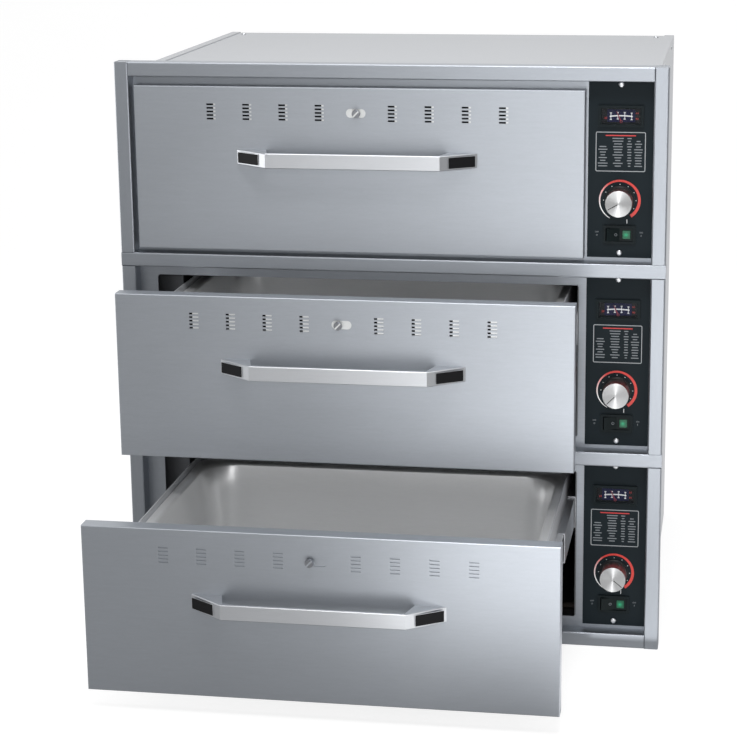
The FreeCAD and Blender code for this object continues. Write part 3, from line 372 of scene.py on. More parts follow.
def dress(node, material):
    """Gives a CAD node's surfaces one material."""
    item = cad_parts[node]
    for slot in item.material_slots:
        slot.material = material
    if not item.material_slots:
        item.data.materials.append(material)


# ---------------------------------------------------------------- places taken from the CAD

def low(node):
    """The lowest corner of a CAD node's box."""
    return Vector(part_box(node)[0])


def high(node):
    """The highest corner of a CAD node's box."""
    return Vector(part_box(node)[1])


def middle(node):
    """The middle of a CAD node's box."""
    return (low(node) + high(node)) / 2


def module_pitch():
    """How far each drawer's module stands above the one below."""
    return low("control_panel_middle").z - low("control_panel_bottom").z


def panel_place(module):
    """The middle across, the front face and the bottom edge of a control panel."""
    lowest = low("control_panel_" + module)
    return middle("control_panel_" + module).x, lowest.y, lowest.z


def knob_centre(module):
    """Where a thermostat's axis meets the front of its panel."""
    knob = middle("thermostat_knob_" + module)
    return knob.x, low("control_panel_" + module).y, knob.z


# ---------------------------------------------------------------- mesh helpers

def linked(name, data):
    """A new object that holds the data given, linked into the scene."""
    item = bpy.data.objects.new(name, data)
    bpy.context.scene.collection.objects.link(item)
    return item


def evaluated_mesh(item):
    """A plain mesh of all that an object shows once its modifiers have worked."""
    depsgraph = bpy.context.evaluated_depsgraph_get()
    return bpy.data.meshes.new_from_object(item.evaluated_get(depsgraph), depsgraph=depsgraph)


def finished(name, mesh, body, material, replaces=()):
    """Links a mesh as a piece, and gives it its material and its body."""
    item = linked(name, mesh)
    if material is not None:
        mesh.materials.clear()
        mesh.materials.append(material)
    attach(item, body)
    if replaces:
        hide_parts(*replaces)
    return item


def from_bmesh(name, work, smooth=False):
    """Turns a mesh under way into a finished one, with its normals facing out."""
    bmesh.ops.remove_doubles(work, verts=work.verts, dist=1e-7)
    bmesh.ops.recalc_face_normals(work, faces=work.faces)
    mesh = bpy.data.meshes.new(name)
    work.to_mesh(mesh)
    work.free()
    if smooth:
        mesh.shade_smooth()
    return mesh


def bridge(work, loops, closed=False):
    """Joins each loop of vertices to the next one, and the last to the first if closed."""
    for first, second in zip(loops, loops[1:] + loops[:1] if closed else loops[1:]):
        for i in range(len(first)):
            j = (i + 1) % len(first)
            work.faces.new((first[i], first[j], second[j], second[i]))


def add_prism(work, outline, place, thick, rim=0.0):
    """A flat plate with an (across, up) outline: its back on place's XZ plane, its front towards -Y."""
    back = [work.verts.new(place @ Vector((x, 0, z))) for x, z in outline]
    centre = Vector((sum(p[0] for p in outline), sum(p[1] for p in outline))) / len(outline)
    front = []
    for x, z in outline:
        away = Vector((x, z)) - centre
        pulled = centre + away * (1 - rim / max(away.length, 1e-9)) if rim else Vector((x, z))
        front.append(work.verts.new(place @ Vector((pulled.x, -thick, pulled.y))))
    work.faces.new(front)
    work.faces.new(list(reversed(back)))
    bridge(work, [back, front])


def add_band(work, outer, inner, place, thick):
    """A flat band between two (across, up) outlines, raised from place's XZ plane towards -Y."""
    steps = ((outer, 0.0), (outer, thick), (inner, thick), (inner, 0.0))
    loops = [[work.verts.new(place @ Vector((x, -depth, z))) for x, z in outline] for outline, depth in steps]
    bridge(work, loops, closed=True)


def plate(name, outline, place, thick, rim=0.0):
    """A mesh of one flat plate."""
    work = bmesh.new()
    add_prism(work, outline, place, thick, rim)
    return from_bmesh(name, work)


def print_square(name):
    """A printed square 1 mm wide, so that a seat's stretch gives a bar's size in millimetres."""
    return plate(name, bar_outline(0.001, 0.001), Matrix(), FINE_PRINT)


def bar_outline(width, height, lift=0.0):
    """A rectangle's corners, its middle raised by the lift."""
    half, foot, head = width / 2, lift - height / 2, lift + height / 2
    return [(-half, foot), (half, foot), (half, head), (-half, head)]


def round_outline(radius, steps):
    """A circle's points."""
    return [(radius * math.cos(2 * math.pi * step / steps), radius * math.sin(2 * math.pi * step / steps))
            for step in range(steps)]


def rounded_outline(width, height, radius, steps=5):
    """The points of a rectangle with round corners."""
    points = []
    for cx, cz, start in ((1, 1, 0), (-1, 1, 90), (-1, -1, 180), (1, -1, 270)):
        for step in range(steps + 1):
            angle = math.radians(start + 90 * step / steps)
            points.append((cx * (width / 2 - radius) + radius * math.cos(angle),
                           cz * (height / 2 - radius) + radius * math.sin(angle)))
    return points


def clock(centre, radius, degrees):
    """A point on a circle, with the angle clockwise from the top as seen from the front."""
    angle = math.radians(degrees)
    return centre[0] + radius * math.sin(angle), centre[2] + radius * math.cos(angle)


def add_text(work, words, height, place):
    """Adds raised figures, centred on a place and facing -Y, to a mesh under way."""
    font_share, half_thick, clear = 1.35, 0.00005, 0.00006
    curve = bpy.data.curves.new("figures", "FONT")
    curve.body = words
    curve.size = height * font_share
    curve.align_x, curve.align_y = "CENTER", "CENTER"
    curve.extrude = half_thick
    curve.resolution_u = 2
    holder = linked("figures", curve)
    mesh = evaluated_mesh(holder)
    upright = Matrix.Rotation(math.pi / 2, 4, "X")
    mesh.transform(Matrix.Translation((place[0], place[1] - clear, place[2])) @ upright)
    work.from_mesh(mesh)
    bpy.data.objects.remove(holder)
    bpy.data.meshes.remove(mesh)


# ---------------------------------------------------------------- geometry nodes

def node_tree(name, inputs):
    """A geometry tree with a Geometry input and output and named number inputs."""
    tree = bpy.data.node_groups.new(name, "GeometryNodeTree")
    tree.interface.new_socket(name="Geometry", in_out="INPUT", socket_type="NodeSocketGeometry")
    for label, kind, default in inputs:
        socket = tree.interface.new_socket(name=label, in_out="INPUT", socket_type=kind)
        if default is not None:
            socket.default_value = default
    tree.interface.new_socket(name="Geometry", in_out="OUTPUT", socket_type="NodeSocketGeometry")
    return tree, tree.nodes.new("NodeGroupInput"), tree.nodes.new("NodeGroupOutput")


def copies_tree():
    """Instances one piece on every point of a mesh, turned and stretched by values kept on the points."""
    tree, entry, leave = node_tree("copies_on_points", [
        ("Piece", "NodeSocketObject", None), ("Size", "NodeSocketFloat", 1.0),
        ("Finish", "NodeSocketMaterial", None)])
    link = tree.links.new
    info = tree.nodes.new("GeometryNodeObjectInfo")
    link(entry.outputs["Piece"], info.inputs["Object"])
    stored = {}
    for label in ("turn", "stretch"):
        node = tree.nodes.new("GeometryNodeInputNamedAttribute")
        node.data_type = "FLOAT_VECTOR"
        node.inputs["Name"].default_value = label
        stored[label] = node.outputs["Attribute"]
    sized = tree.nodes.new("ShaderNodeVectorMath")
    sized.operation = "SCALE"
    link(stored["stretch"], sized.inputs[0])
    link(entry.outputs["Size"], sized.inputs["Scale"])
    place = tree.nodes.new("GeometryNodeInstanceOnPoints")
    link(entry.outputs["Geometry"], place.inputs["Points"])
    link(info.outputs["Geometry"], place.inputs["Instance"])
    link(stored["turn"], place.inputs["Rotation"])
    link(sized.outputs[0], place.inputs["Scale"])
    real = tree.nodes.new("GeometryNodeRealizeInstances")
    link(place.outputs["Instances"], real.inputs["Geometry"])
    paint = tree.nodes.new("GeometryNodeSetMaterial")
    link(real.outputs["Geometry"], paint.inputs["Geometry"])
    link(entry.outputs["Finish"], paint.inputs["Material"])
    link(paint.outputs["Geometry"], leave.inputs["Geometry"])
    return tree


def seat(place, turn=(0, 0, 0), stretch=(1, 1, 1)):
    """Where one copy of a piece goes."""
    return place, turn, stretch


def copies(name, piece_mesh, seats, material):
    """A mesh of one piece set at every seat by the copies tree."""
    if "copies_on_points" not in bpy.data.node_groups:
        copies_tree()
    tree = bpy.data.node_groups["copies_on_points"]
    piece = linked(name + "_piece", piece_mesh)
    places, turns, stretches = zip(*seats)
    points = bpy.data.meshes.new(name + "_seats")
    points.from_pydata([tuple(place) for place in places], [], [])
    for label, values in (("turn", turns), ("stretch", stretches)):
        attribute = points.attributes.new(label, "FLOAT_VECTOR", "POINT")
        for entry, value in zip(attribute.data, values):
            entry.vector = value
    carrier = linked(name + "_carrier", points)
    modifier = carrier.modifiers.new("copies", "NODES")
    modifier.node_group = tree
    values = {"Piece": piece, "Size": 1.0, "Finish": material}
    for item in tree.interface.items_tree:
        if item.in_out == "INPUT" and item.name in values:
            modifier[item.identifier] = values[item.name]
    mesh = evaluated_mesh(carrier)
    mesh.name = name
    for label in ("turn", "stretch"):
        if label in mesh.attributes:
            mesh.attributes.remove(mesh.attributes[label])
    carrier.modifiers.clear()
    for item in (carrier, piece):
        bpy.data.objects.remove(item)
    return mesh


# ---------------------------------------------------------------- settings

class WARMER_PG_steel(bpy.types.PropertyGroup):
    """Settings of the steel, the handles and the pans"""
    front_tone: bpy.props.FloatVectorProperty(
        name="Front tone", description="Colour of the drawer fronts", subtype="COLOR", size=3,
        default=(0.375, 0.398, 0.432), min=0.0, max=1.0)
    trim_tone: bpy.props.FloatVectorProperty(
        name="Trim tone", description="Colour of the frame round the drawers", subtype="COLOR", size=3,
        default=(0.335, 0.356, 0.388), min=0.0, max=1.0)
    casing_tone: bpy.props.FloatVectorProperty(
        name="Casing tone", description="Colour of the cabinet's sides, top and back", subtype="COLOR",
        size=3, default=(0.460, 0.472, 0.492), min=0.0, max=1.0)
    handle_tone: bpy.props.FloatVectorProperty(
        name="Handle tone", description="Colour of the drawer handles", subtype="COLOR", size=3,
        default=(0.60, 0.615, 0.64), min=0.0, max=1.0)
    pan_tone: bpy.props.FloatVectorProperty(
        name="Pan tone", description="Colour of the food pans", subtype="COLOR", size=3,
        default=(0.78, 0.785, 0.79), min=0.0, max=1.0)
    front_roughness: bpy.props.FloatProperty(
        name="Front roughness", description="How dull the drawer fronts are", default=0.42, min=0.05, max=1.0,
        subtype="FACTOR")
    pan_floor_radius: bpy.props.FloatProperty(
        name="Pan floor radius", description="Radius between a pan's walls and its floor", default=0.022,
        unit="LENGTH")


class WARMER_PG_controls(bpy.types.PropertyGroup):
    """Settings of the control panels"""
    panel_tone: bpy.props.FloatVectorProperty(
        name="Panel tone", description="Colour of the control panels", subtype="COLOR", size=3,
        default=(0.010, 0.016, 0.020), min=0.0, max=1.0)
    knob_tone: bpy.props.FloatVectorProperty(
        name="Knob tone", description="Colour of the turned knob caps", subtype="COLOR", size=3,
        default=(0.58, 0.585, 0.59), min=0.0, max=1.0)
    knob_roughness: bpy.props.FloatProperty(
        name="Knob roughness", description="How dull the turned knob caps are", default=0.48, min=0.05,
        max=1.0, subtype="FACTOR")
    scale_cool: bpy.props.FloatVectorProperty(
        name="Scale start", description="Colour of the heat scale at its low end", subtype="COLOR", size=3,
        default=(0.85, 0.86, 0.86), min=0.0, max=1.0)
    scale_hot: bpy.props.FloatVectorProperty(
        name="Scale end", description="Colour of the heat scale at its high end", subtype="COLOR", size=3,
        default=(0.63, 0.034, 0.024), min=0.0, max=1.0)
    lens_tone: bpy.props.FloatVectorProperty(
        name="Lamp tone", description="Colour of the lit lens on the switch", subtype="COLOR", size=3,
        default=(0.003, 0.19, 0.085), min=0.0, max=1.0)
    lens_glow: bpy.props.FloatProperty(
        name="Lamp glow", description="Brightness of the lit lens", default=0.35, min=0.0, max=5.0)
    scale_radius: bpy.props.FloatProperty(
        name="Scale radius", description="Outer radius of the heat scale", default=0.0278, unit="LENGTH")
    scale_width: bpy.props.FloatProperty(
        name="Scale width", description="Width of the heat scale at its high end", default=0.0042,
        unit="LENGTH")
    dot_count: bpy.props.IntProperty(
        name="Dots", description="Number of dots inside the heat scale, 30 degrees apart", default=8, min=2,
        max=9)


class WARMER_PG_stage(bpy.types.PropertyGroup):
    """Settings of the floor, the lamps and the camera"""
    floor_tone: bpy.props.FloatVectorProperty(
        name="Floor tone", description="Colour of the floor and the backdrop", subtype="COLOR", size=3,
        default=(0.27, 0.27, 0.27), min=0.0, max=1.0)
    floor_glow: bpy.props.FloatProperty(
        name="Floor glow", description="Light that metal and glass see added to the floor", default=0.06,
        min=0.0)
    backdrop_glow: bpy.props.FloatProperty(
        name="Backdrop glow", description="Light that metal and glass see added to the backdrop", default=0.8,
        min=0.0)
    key_power: bpy.props.FloatProperty(
        name="Key power", description="Power of the large lamp in front on the right", default=17.0, min=0.0,
        subtype="POWER")
    card_power: bpy.props.FloatProperty(
        name="Card power", description="Power of the bright card on the floor in front", default=15.0,
        min=0.0, subtype="POWER")
    near_power: bpy.props.FloatProperty(
        name="Near card power", description="Power of the small card at the cabinet's right foot",
        default=0.75, min=0.0, subtype="POWER")
    top_power: bpy.props.FloatProperty(
        name="Top power", description="Power of the lamp overhead", default=34.0, min=0.0, subtype="POWER")
    front_power: bpy.props.FloatProperty(
        name="Front power", description="Power of the small lamp above the front", default=22.0, min=0.0,
        subtype="POWER")
    left_power: bpy.props.FloatProperty(
        name="Left power", description="Power of the lamp on the left", default=16.0, min=0.0,
        subtype="POWER")
    camera_place: bpy.props.FloatVectorProperty(
        name="Camera place", description="Where the camera stands", subtype="TRANSLATION", size=3,
        unit="LENGTH", default=(0.4684, -2.9501, 1.0954))
    camera_turn: bpy.props.FloatVectorProperty(
        name="Camera turn", description="The camera's angles about X, Y and Z", subtype="EULER", size=3,
        default=(math.radians(76.777), math.radians(0.401), math.radians(9.01)))
    camera_lens: bpy.props.FloatProperty(
        name="Lens", description="Focal length of the camera in millimetres", default=98.93)
    camera_shift: bpy.props.FloatVectorProperty(
        name="Shift", description="How far the view is moved across and up", size=2,
        default=(-0.07, -0.07))


class OperatorBase:
    """What all the operators share"""
    bl_options = {"REGISTER", "UNDO"}


# ---------------------------------------------------------------- operators

class WARMER_OT_steelwork(OperatorBase, bpy.types.Operator):
    """Finishes every node that keeps its own shape"""
    bl_idname = "warmer.steelwork"
    bl_label = "Finish the steelwork"

    def execute(self, context):
        steel, controls = context.scene.warmer_steel, context.scene.warmer_controls
        front = brushed_steel("front_steel", steel.front_tone, steel.front_roughness, ACROSS, metallic=0.88)
        rails = brushed_steel("rail_steel", steel.trim_tone, 0.42, ACROSS)
        stiles = brushed_steel("stile_steel", steel.trim_tone, 0.42, UPRIGHT)
        casing = casing_steel(steel.casing_tone)
        # The parts inside the cabinet get a dark copy of the steel: painted shade.
        inner = brushed_steel("inner_steel", (0.15, 0.155, 0.165), 0.5, DEEP)
        carrier = brushed_steel("carrier_steel", (0.52, 0.53, 0.55), 0.45, ACROSS, metallic=0.7)
        zinc = brushed_steel("slide_zinc", (0.50, 0.51, 0.53), 0.36, DEEP, tone_spread=0.1)
        handle = brushed_steel("handle_steel", steel.handle_tone, 0.38, ACROSS, tone_spread=0.05)
        damper = brushed_steel("damper_zinc", (0.68, 0.69, 0.69), 0.5, ACROSS, tone_spread=0.04)
        pan = brushed_steel("pan_steel", steel.pan_tone, 0.36, ACROSS, tone_spread=0.05, metallic=0.7)
        sheath = plain_paint("element_sheath", (0.10, 0.085, 0.075), 0.55, metallic=0.8, speckle=0.4)
        panel = plain_paint("panel_enamel", controls.panel_tone, 0.5, speckle=0.15, size=1600.0,
                            specular_ior_level=0.10)
        moulding = plain_paint("black_moulding", (0.005, 0.010, 0.012), 0.42, speckle=0.3, size=1300.0,
                               specular_ior_level=0.12)
        rocker = plain_paint("rocker_moulding", (0.004, 0.009, 0.010), 0.35, speckle=0.1,
                             specular_ior_level=0.12)
        bakelite = plain_paint("thermostat_moulding", (0.16, 0.14, 0.12), 0.5, speckle=0.4)
        needle = ink("needle_enamel", (0.26, 0.012, 0.04))
        knob = turned_aluminium(controls)
        pane = clear_pane()
        single = {
            rails: ("trim_top_rail", "trim_middle_rails", "trim_bottom_rail", "face_plate"),
            stiles: ("trim_stiles_left", "trim_stiles_right"),
            casing: ("left_side_panel", "right_side_panel", "top_panel", "back_panel", "base_panel"),
            inner: ("drawer_decks", "control_bay_wall", "slide_brackets"),
            zinc: ("panel_screws", "cabinet_screws"),
            sheath: ("heating_elements",), moulding: ("cord_gland",), bakelite: ("thermostats",),
            pane: ("gauge_glasses",),
        }
        for material, names in single.items():
            for name in names:
                dress(name, material)
        each_drawer = {
            front: ("drawer_front",), damper: ("vent_damper",), zinc: ("slide_channels", "slide_runners"),
            carrier: ("drawer_carrier",), handle: ("drawer_handle",), pan: ("food_pan",),
            panel: ("control_panel",), moulding: ("gauge_case", "switch_bezel"), rocker: ("switch_rocker",),
            needle: ("gauge_needle",), knob: ("thermostat_knob",),
        }
        for material, names in each_drawer.items():
            for name in names:
                for module in MODULES:
                    dress("%s_%s" % (name, module), material)
        # The bottom drawer's damper takes the darker front steel instead of the bright damper zinc: painted
        # shade, so its closed slots read dark.
        dress("vent_damper_bottom", front)
        return {"FINISHED"}


class WARMER_OT_food_pans(OperatorBase, bpy.types.Operator):
    """Makes the deep-drawn pans with their rolled rims and round floors"""
    bl_idname = "warmer.food_pans"
    bl_label = "Make the food pans"

    def execute(self, context):
        material = bpy.data.materials["pan_steel"]
        floor_radius = context.scene.warmer_steel.pan_floor_radius
        for module in MODULES:
            lowest, highest = low("food_pan_" + module), high("food_pan_" + module)
            mesh = self.pan_mesh(lowest, highest, floor_radius)
            finished("pan_" + module, mesh, "drawer_" + module, material, ["food_pan_" + module])
        return {"FINISHED"}

    def pan_mesh(self, lowest, highest, floor_radius):
        """A bowl of round-cornered rings from the rim in and down to the floor, given a wall outside."""
        centre, size = (lowest + highest) / 2, highest - lowest
        # The floor stops short of the bottom of the pan's box, because the wall is added outside it.
        gauge, floor_gap, lean = 0.0009, 0.0006, math.tan(math.radians(2.5))
        flange, lip, top = 0.0095, 0.004, highest.z - 0.0001
        rim_corner, lip_corner, wall_corner = 0.030, 0.046, 0.047
        lip_steps, wall_steps, floor_steps, corner_steps = 4, 3, 7, 8
        # Each ring has its way in from the rim, its way down and its corner radius.
        rings = [(0.0004, 0.0012, 0.014), (0.0, 0.0004, 0.0142), (0.0006, 0.0, 0.0142), (0.0012, 0.0, 0.015),
                 (0.0089, 0.0, 0.029), (flange, 0.0, rim_corner)]
        for step in range(1, lip_steps + 1):
            angle = math.radians(90 * step / lip_steps)
            rings.append((flange + lip * math.sin(angle), lip * (1 - math.cos(angle)),
                          rim_corner + (lip_corner - rim_corner) * step / lip_steps))
        wall_in, wall_tall = flange + lip, size.z - floor_gap - floor_radius - lip
        for step in range(1, wall_steps + 1):
            down = wall_tall * step / wall_steps
            rings.append((wall_in + down * lean, lip + down, wall_corner))
        foot = wall_in + wall_tall * lean
        for step in range(1, floor_steps + 1):
            angle = math.radians(90 * step / floor_steps)
            inward = floor_radius * (1 - math.cos(angle))
            rings.append((foot + inward, lip + wall_tall + floor_radius * math.sin(angle),
                          wall_corner - 0.6 * inward))
        work = bmesh.new()
        loops = [[work.verts.new((centre.x + x, centre.y + y, top - down)) for x, y in
                  rounded_outline(size.x - 2 * inset, size.y - 2 * inset, radius, corner_steps)]
                 for inset, down, radius in rings]
        bridge(work, loops)
        work.faces.new(loops[-1])
        mesh = from_bmesh("pan", work, smooth=True)
        holder = linked("pan_work", mesh)
        wall = holder.modifiers.new("wall", "SOLIDIFY")
        wall.thickness = gauge
        wall.offset = -1.0 if self.faces_up(mesh) else 1.0
        solid = evaluated_mesh(holder)
        bpy.data.objects.remove(holder)
        return solid

    def faces_up(self, mesh):
        """True when the floor's normal points up into the pan."""
        floor = max(mesh.polygons, key=lambda face: len(face.vertices))
        return floor.normal.z > 0


class WARMER_OT_heat_scales(OperatorBase, bpy.types.Operator):
    """Prints the widening heat scale and its dots round each thermostat knob"""
    bl_idname = "warmer.heat_scales"
    bl_label = "Print the heat scales"

    def execute(self, context):
        settings = context.scene.warmer_controls
        colour, white = heat_ink(settings), ink("white_ink", (0.75, 0.77, 0.78))
        dot, dots_radius, first_dot, dot_step = round_outline(0.0006, 10), 0.0216, 270.0, 30.0
        row_across, row_down, row_step, row_dots = 0.0098, 0.0262, 0.0011, 5
        for module in MODULES:
            centre = knob_centre(module)
            finished("heat_scale_" + module, self.scale(centre, settings), CABINET, colour)
            around = [clock(centre, dots_radius, first_dot + dot_step * index)
                      for index in range(settings.dot_count)]
            below = [(centre[0] + row_across, centre[2] - row_down - row_step * index)
                     for index in range(row_dots)]
            mesh = copies("heat_dots_" + module, plate("dot", dot, Matrix(), BROAD_PRINT),
                          [seat((x, centre[1], z)) for x, z in around + below], white)
            finished("heat_dots_" + module, mesh, CABINET, None)
        return {"FINISHED"}

    def scale(self, centre, settings):
        """A band round the knob that widens clockwise, inwards from its outer radius."""
        steps, narrow, outer = 96, 0.0007, settings.scale_radius
        work = bmesh.new()
        rows = []
        for step in range(steps + 1):
            share = step / steps
            degrees = SCALE_START + (SCALE_END - SCALE_START) * share
            inner = outer - narrow - (settings.scale_width - narrow) * share ** 0.8
            row = []
            for radius, depth in ((outer, 0.0), (outer, BROAD_PRINT), (inner, BROAD_PRINT), (inner, 0.0)):
                x, z = clock(centre, radius, degrees)
                row.append(work.verts.new((x, centre[1] - depth, z)))
            rows.append(row)
        bridge(work, rows)
        work.faces.new(rows[0])
        work.faces.new(rows[-1])
        return from_bmesh("heat_scale", work)


class WARMER_OT_gauge_dials(OperatorBase, bpy.types.Operator):
    """Makes each gauge's printed dial with its arched scale, ticks and numbers"""
    bl_idname = "warmer.gauge_dials"
    bl_label = "Make the gauge dials"

    def execute(self, context):
        face = plain_paint("dial_enamel", (0.006, 0.007, 0.009), 0.4, specular_ior_level=0.15)
        field = plain_paint("dial_field", (0.004, 0.006, 0.045), 0.4, specular_ior_level=0.15)
        white = ink("dial_white", (0.92, 0.93, 0.95))
        red = ink("red_ink", (0.6, 0.03, 0.03))
        dial_outline = rounded_outline(0.0505, 0.0195, 0.001)
        field_outline = rounded_outline(0.0370, 0.0168, 0.0005)
        sunk, dial_thick, field_thick = 0.00695, 0.0002, 0.0001
        for module in MODULES:
            centre = middle("gauge_case_" + module)
            dial_back = low("gauge_case_" + module).y + sunk
            field_back = dial_back - dial_thick
            ink_back = field_back - field_thick
            place = Matrix.Translation((centre.x, dial_back, centre.z))
            mesh = plate("dial", dial_outline, place, dial_thick)
            finished("gauge_dial_" + module, mesh, CABINET, face)
            place = Matrix.Translation((centre.x, field_back, centre.z))
            mesh = plate("field", field_outline, place, field_thick)
            finished("gauge_field_" + module, mesh, CABINET, field)
            self.band(module, centre, ink_back, white)
            self.ticks(module, centre, ink_back, white)
            self.numbers(module, centre, ink_back, red)
        return {"FINISHED"}

    def place(self, centre, share, up):
        """A point on the shallow arch of the scale; share runs from -1 to 1."""
        half, drop, rise = 0.0152, 0.0008, 0.0010
        return centre.x + half * share, centre.z - drop + rise * (1 - share * share) + up

    def band(self, module, centre, back, material):
        """The arch itself, in short straight lengths."""
        work = bmesh.new()
        steps, half = 24, 0.0008
        for step in range(steps):
            corners = ((step, -half), (step + 1, -half), (step + 1, half), (step, half))
            outline = [self.place(centre, -1 + 2 * share / steps, up) for share, up in corners]
            add_prism(work, outline, Matrix.Translation((0, back, 0)), FINE_PRINT)
        finished("gauge_band_" + module, from_bmesh("band", work), CABINET, material)

    def ticks(self, module, centre, back, material):
        """Four stems above the band and four below it, each with a wide end."""
        seats = []
        for share in (-0.9, -0.3, 0.3, 0.9):
            for side in (-1, 1):
                for up, wide, tall in ((0.0025, 0.8, 3.6), (0.0043, 2.6, 1.3)):
                    x, z = self.place(centre, share, side * up)
                    seats.append(seat((x, back, z), stretch=(wide, 1, tall)))
        mesh = copies("gauge_ticks_" + module, print_square("tick"), seats, material)
        finished("gauge_ticks_" + module, mesh, CABINET, None)

    def numbers(self, module, centre, back, material):
        """The scale's numbers, one on the left and two on the right."""
        work, tall = bmesh.new(), 0.0028
        for number, x, z in (("20", -0.0205, -0.0032), ("60", 0.0208, 0.0036), ("90", 0.0208, -0.0040)):
            add_text(work, number, tall, (centre.x + x, back, centre.z + z))
        finished("gauge_numbers_" + module, from_bmesh("numbers", work), CABINET, material)


class WARMER_OT_setting_tables(OperatorBase, bpy.types.Operator):
    """Prints a framed table with plain bars for its rows on each control panel"""
    bl_idname = "warmer.setting_tables"
    bl_label = "Print the setting tables"

    def execute(self, context):
        grey = ink("grey_ink", (0.36, 0.38, 0.40))
        pale, red = ink("pale_ink", (0.20, 0.22, 0.24)), bpy.data.materials["red_ink"]
        wide, tall, line, line_thick, above_foot = 0.0660, 0.0530, 0.0010, 0.00014, 0.1430
        title_down, rows_down = 0.0048, 0.0086
        outer = rounded_outline(wide, tall, 0.002)
        inner = rounded_outline(wide - 2 * line, tall - 2 * line, 0.0012)
        for module in MODULES:
            across, face, bottom = panel_place(module)
            level = bottom + above_foot
            work = bmesh.new()
            add_band(work, outer, inner, Matrix.Translation((across, face, level)), line_thick)
            finished("table_frame_" + module, from_bmesh("table_frame", work), CABINET, grey)
            title = [seat((across, face, level + tall / 2 - title_down), stretch=(40, 1, 1.4))]
            rows = self.rows(across, face, level + tall / 2 - rows_down)
            for name, seats, material in (("table_title_", title, red), ("table_rows_", rows, pale)):
                mesh = copies(name + module, print_square("bar"), seats, material)
                finished(name + module, mesh, CABINET, None)
        return {"FINISHED"}

    def rows(self, across, face, top):
        """Seats for eleven rows of bars in four columns, each bar's length in millimetres."""
        lengths = (9, 12, 7, 11, 8, 13, 10, 6, 12, 9, 11)
        columns = ((-0.0235, 1.0), (-0.0035, 1.15), (0.0115, 0.5), (0.0235, 0.85))
        bar_tall, pitch, left, right = 1.3, 0.0037, 0, 3
        seats = []
        for row in range(11):
            for column, (x, share) in enumerate(columns):
                if row < 3 and column == left or row == 0 and column == right:
                    continue
                long = lengths[(row * 3 + column * 5) % len(lengths)] * share
                seats.append(seat((across + x, face, top - pitch * row), stretch=(long, 1, bar_tall)))
        return seats


class WARMER_OT_switch_marks(OperatorBase, bpy.types.Operator):
    """Adds the lit lens and the ring mark to each rocker, and ON and OFF beside each switch"""
    bl_idname = "warmer.switch_marks"
    bl_label = "Mark the switches"

    def execute(self, context):
        settings = context.scene.warmer_controls
        lens = lit_lens(settings)
        pale = bpy.data.materials["pale_ink"]
        # The rocker tips on a pivot behind the panel's face, its two slopes falling away from a crest.
        pivot_depth, crest_out, tipped, slope = 0.0015, 0.0024, math.radians(7), math.atan2(0.0022, 0.0174)
        words_left, words_right, words_up, words_tall, marks_up = -0.0300, 0.0290, 0.0030, 0.0022, -0.0012
        lens_outline, lens_across, ring_across = rounded_outline(0.0105, 0.0115, 0.001), 0.0092, -0.0050
        for module in MODULES:
            across, face, _ = panel_place(module)
            level = middle("switch_rocker_" + module).z
            crest = (Matrix.Translation((across, face + pivot_depth, level)) @ Matrix.Rotation(tipped, 4, "Z")
                     @ Matrix.Translation((0, -crest_out, 0)))
            right = crest @ Matrix.Rotation(-slope, 4, "Z") @ Matrix.Translation((lens_across, 0, 0))
            left = crest @ Matrix.Rotation(slope, 4, "Z") @ Matrix.Translation((ring_across, 0, 0))
            rocker = "switch_rocker_" + module
            mesh = plate("lens", lens_outline, right, 0.0005, rim=0.0004)
            finished("switch_lens_" + module, mesh, rocker, lens)
            work = bmesh.new()
            self.ring(work, left, 0.0019, 0.0013)
            finished("switch_ring_" + module, from_bmesh("ring", work), rocker, pale)
            work = bmesh.new()
            add_text(work, "OFF", words_tall, (across + words_left, face, level + words_up))
            add_text(work, "ON", words_tall, (across + words_right, face, level + words_up))
            self.ring(work, Matrix.Translation((across + words_left, face, level + marks_up)), 0.0011, 0.0007)
            add_prism(work, bar_outline(0.0006, 0.0026),
                      Matrix.Translation((across + words_right, face, level + marks_up)), FINE_PRINT)
            finished("switch_words_" + module, from_bmesh("words", work), CABINET, pale)
        return {"FINISHED"}

    def ring(self, work, place, outer, inner):
        """A printed ring."""
        add_band(work, round_outline(outer, 20), round_outline(inner, 20), place, BROAD_PRINT)


class WARMER_OT_knob_pointers(OperatorBase, bpy.types.Operator):
    """Fills the pointer groove on each knob with black"""
    bl_idname = "warmer.knob_pointers"
    bl_label = "Fill the knob pointers"

    def execute(self, context):
        black = ink("pointer_ink", (0.02, 0.02, 0.022))
        wide, inner_end, outer_end, groove, fill = 0.001, 0.0022, 0.0162, 0.00048, 0.0003
        outline = bar_outline(wide, outer_end - inner_end, (inner_end + outer_end) / 2)
        for module in MODULES:
            knob = "thermostat_knob_" + module
            x, _, z = knob_centre(module)
            place = (Matrix.Translation((x, low(knob).y + groove, z))
                     @ Matrix.Rotation(math.radians(KNOB_TURNS[module]), 4, "Y"))
            mesh = plate("pointer", outline, place, fill)
            finished("knob_pointer_" + module, mesh, knob, black)
        return {"FINISHED"}


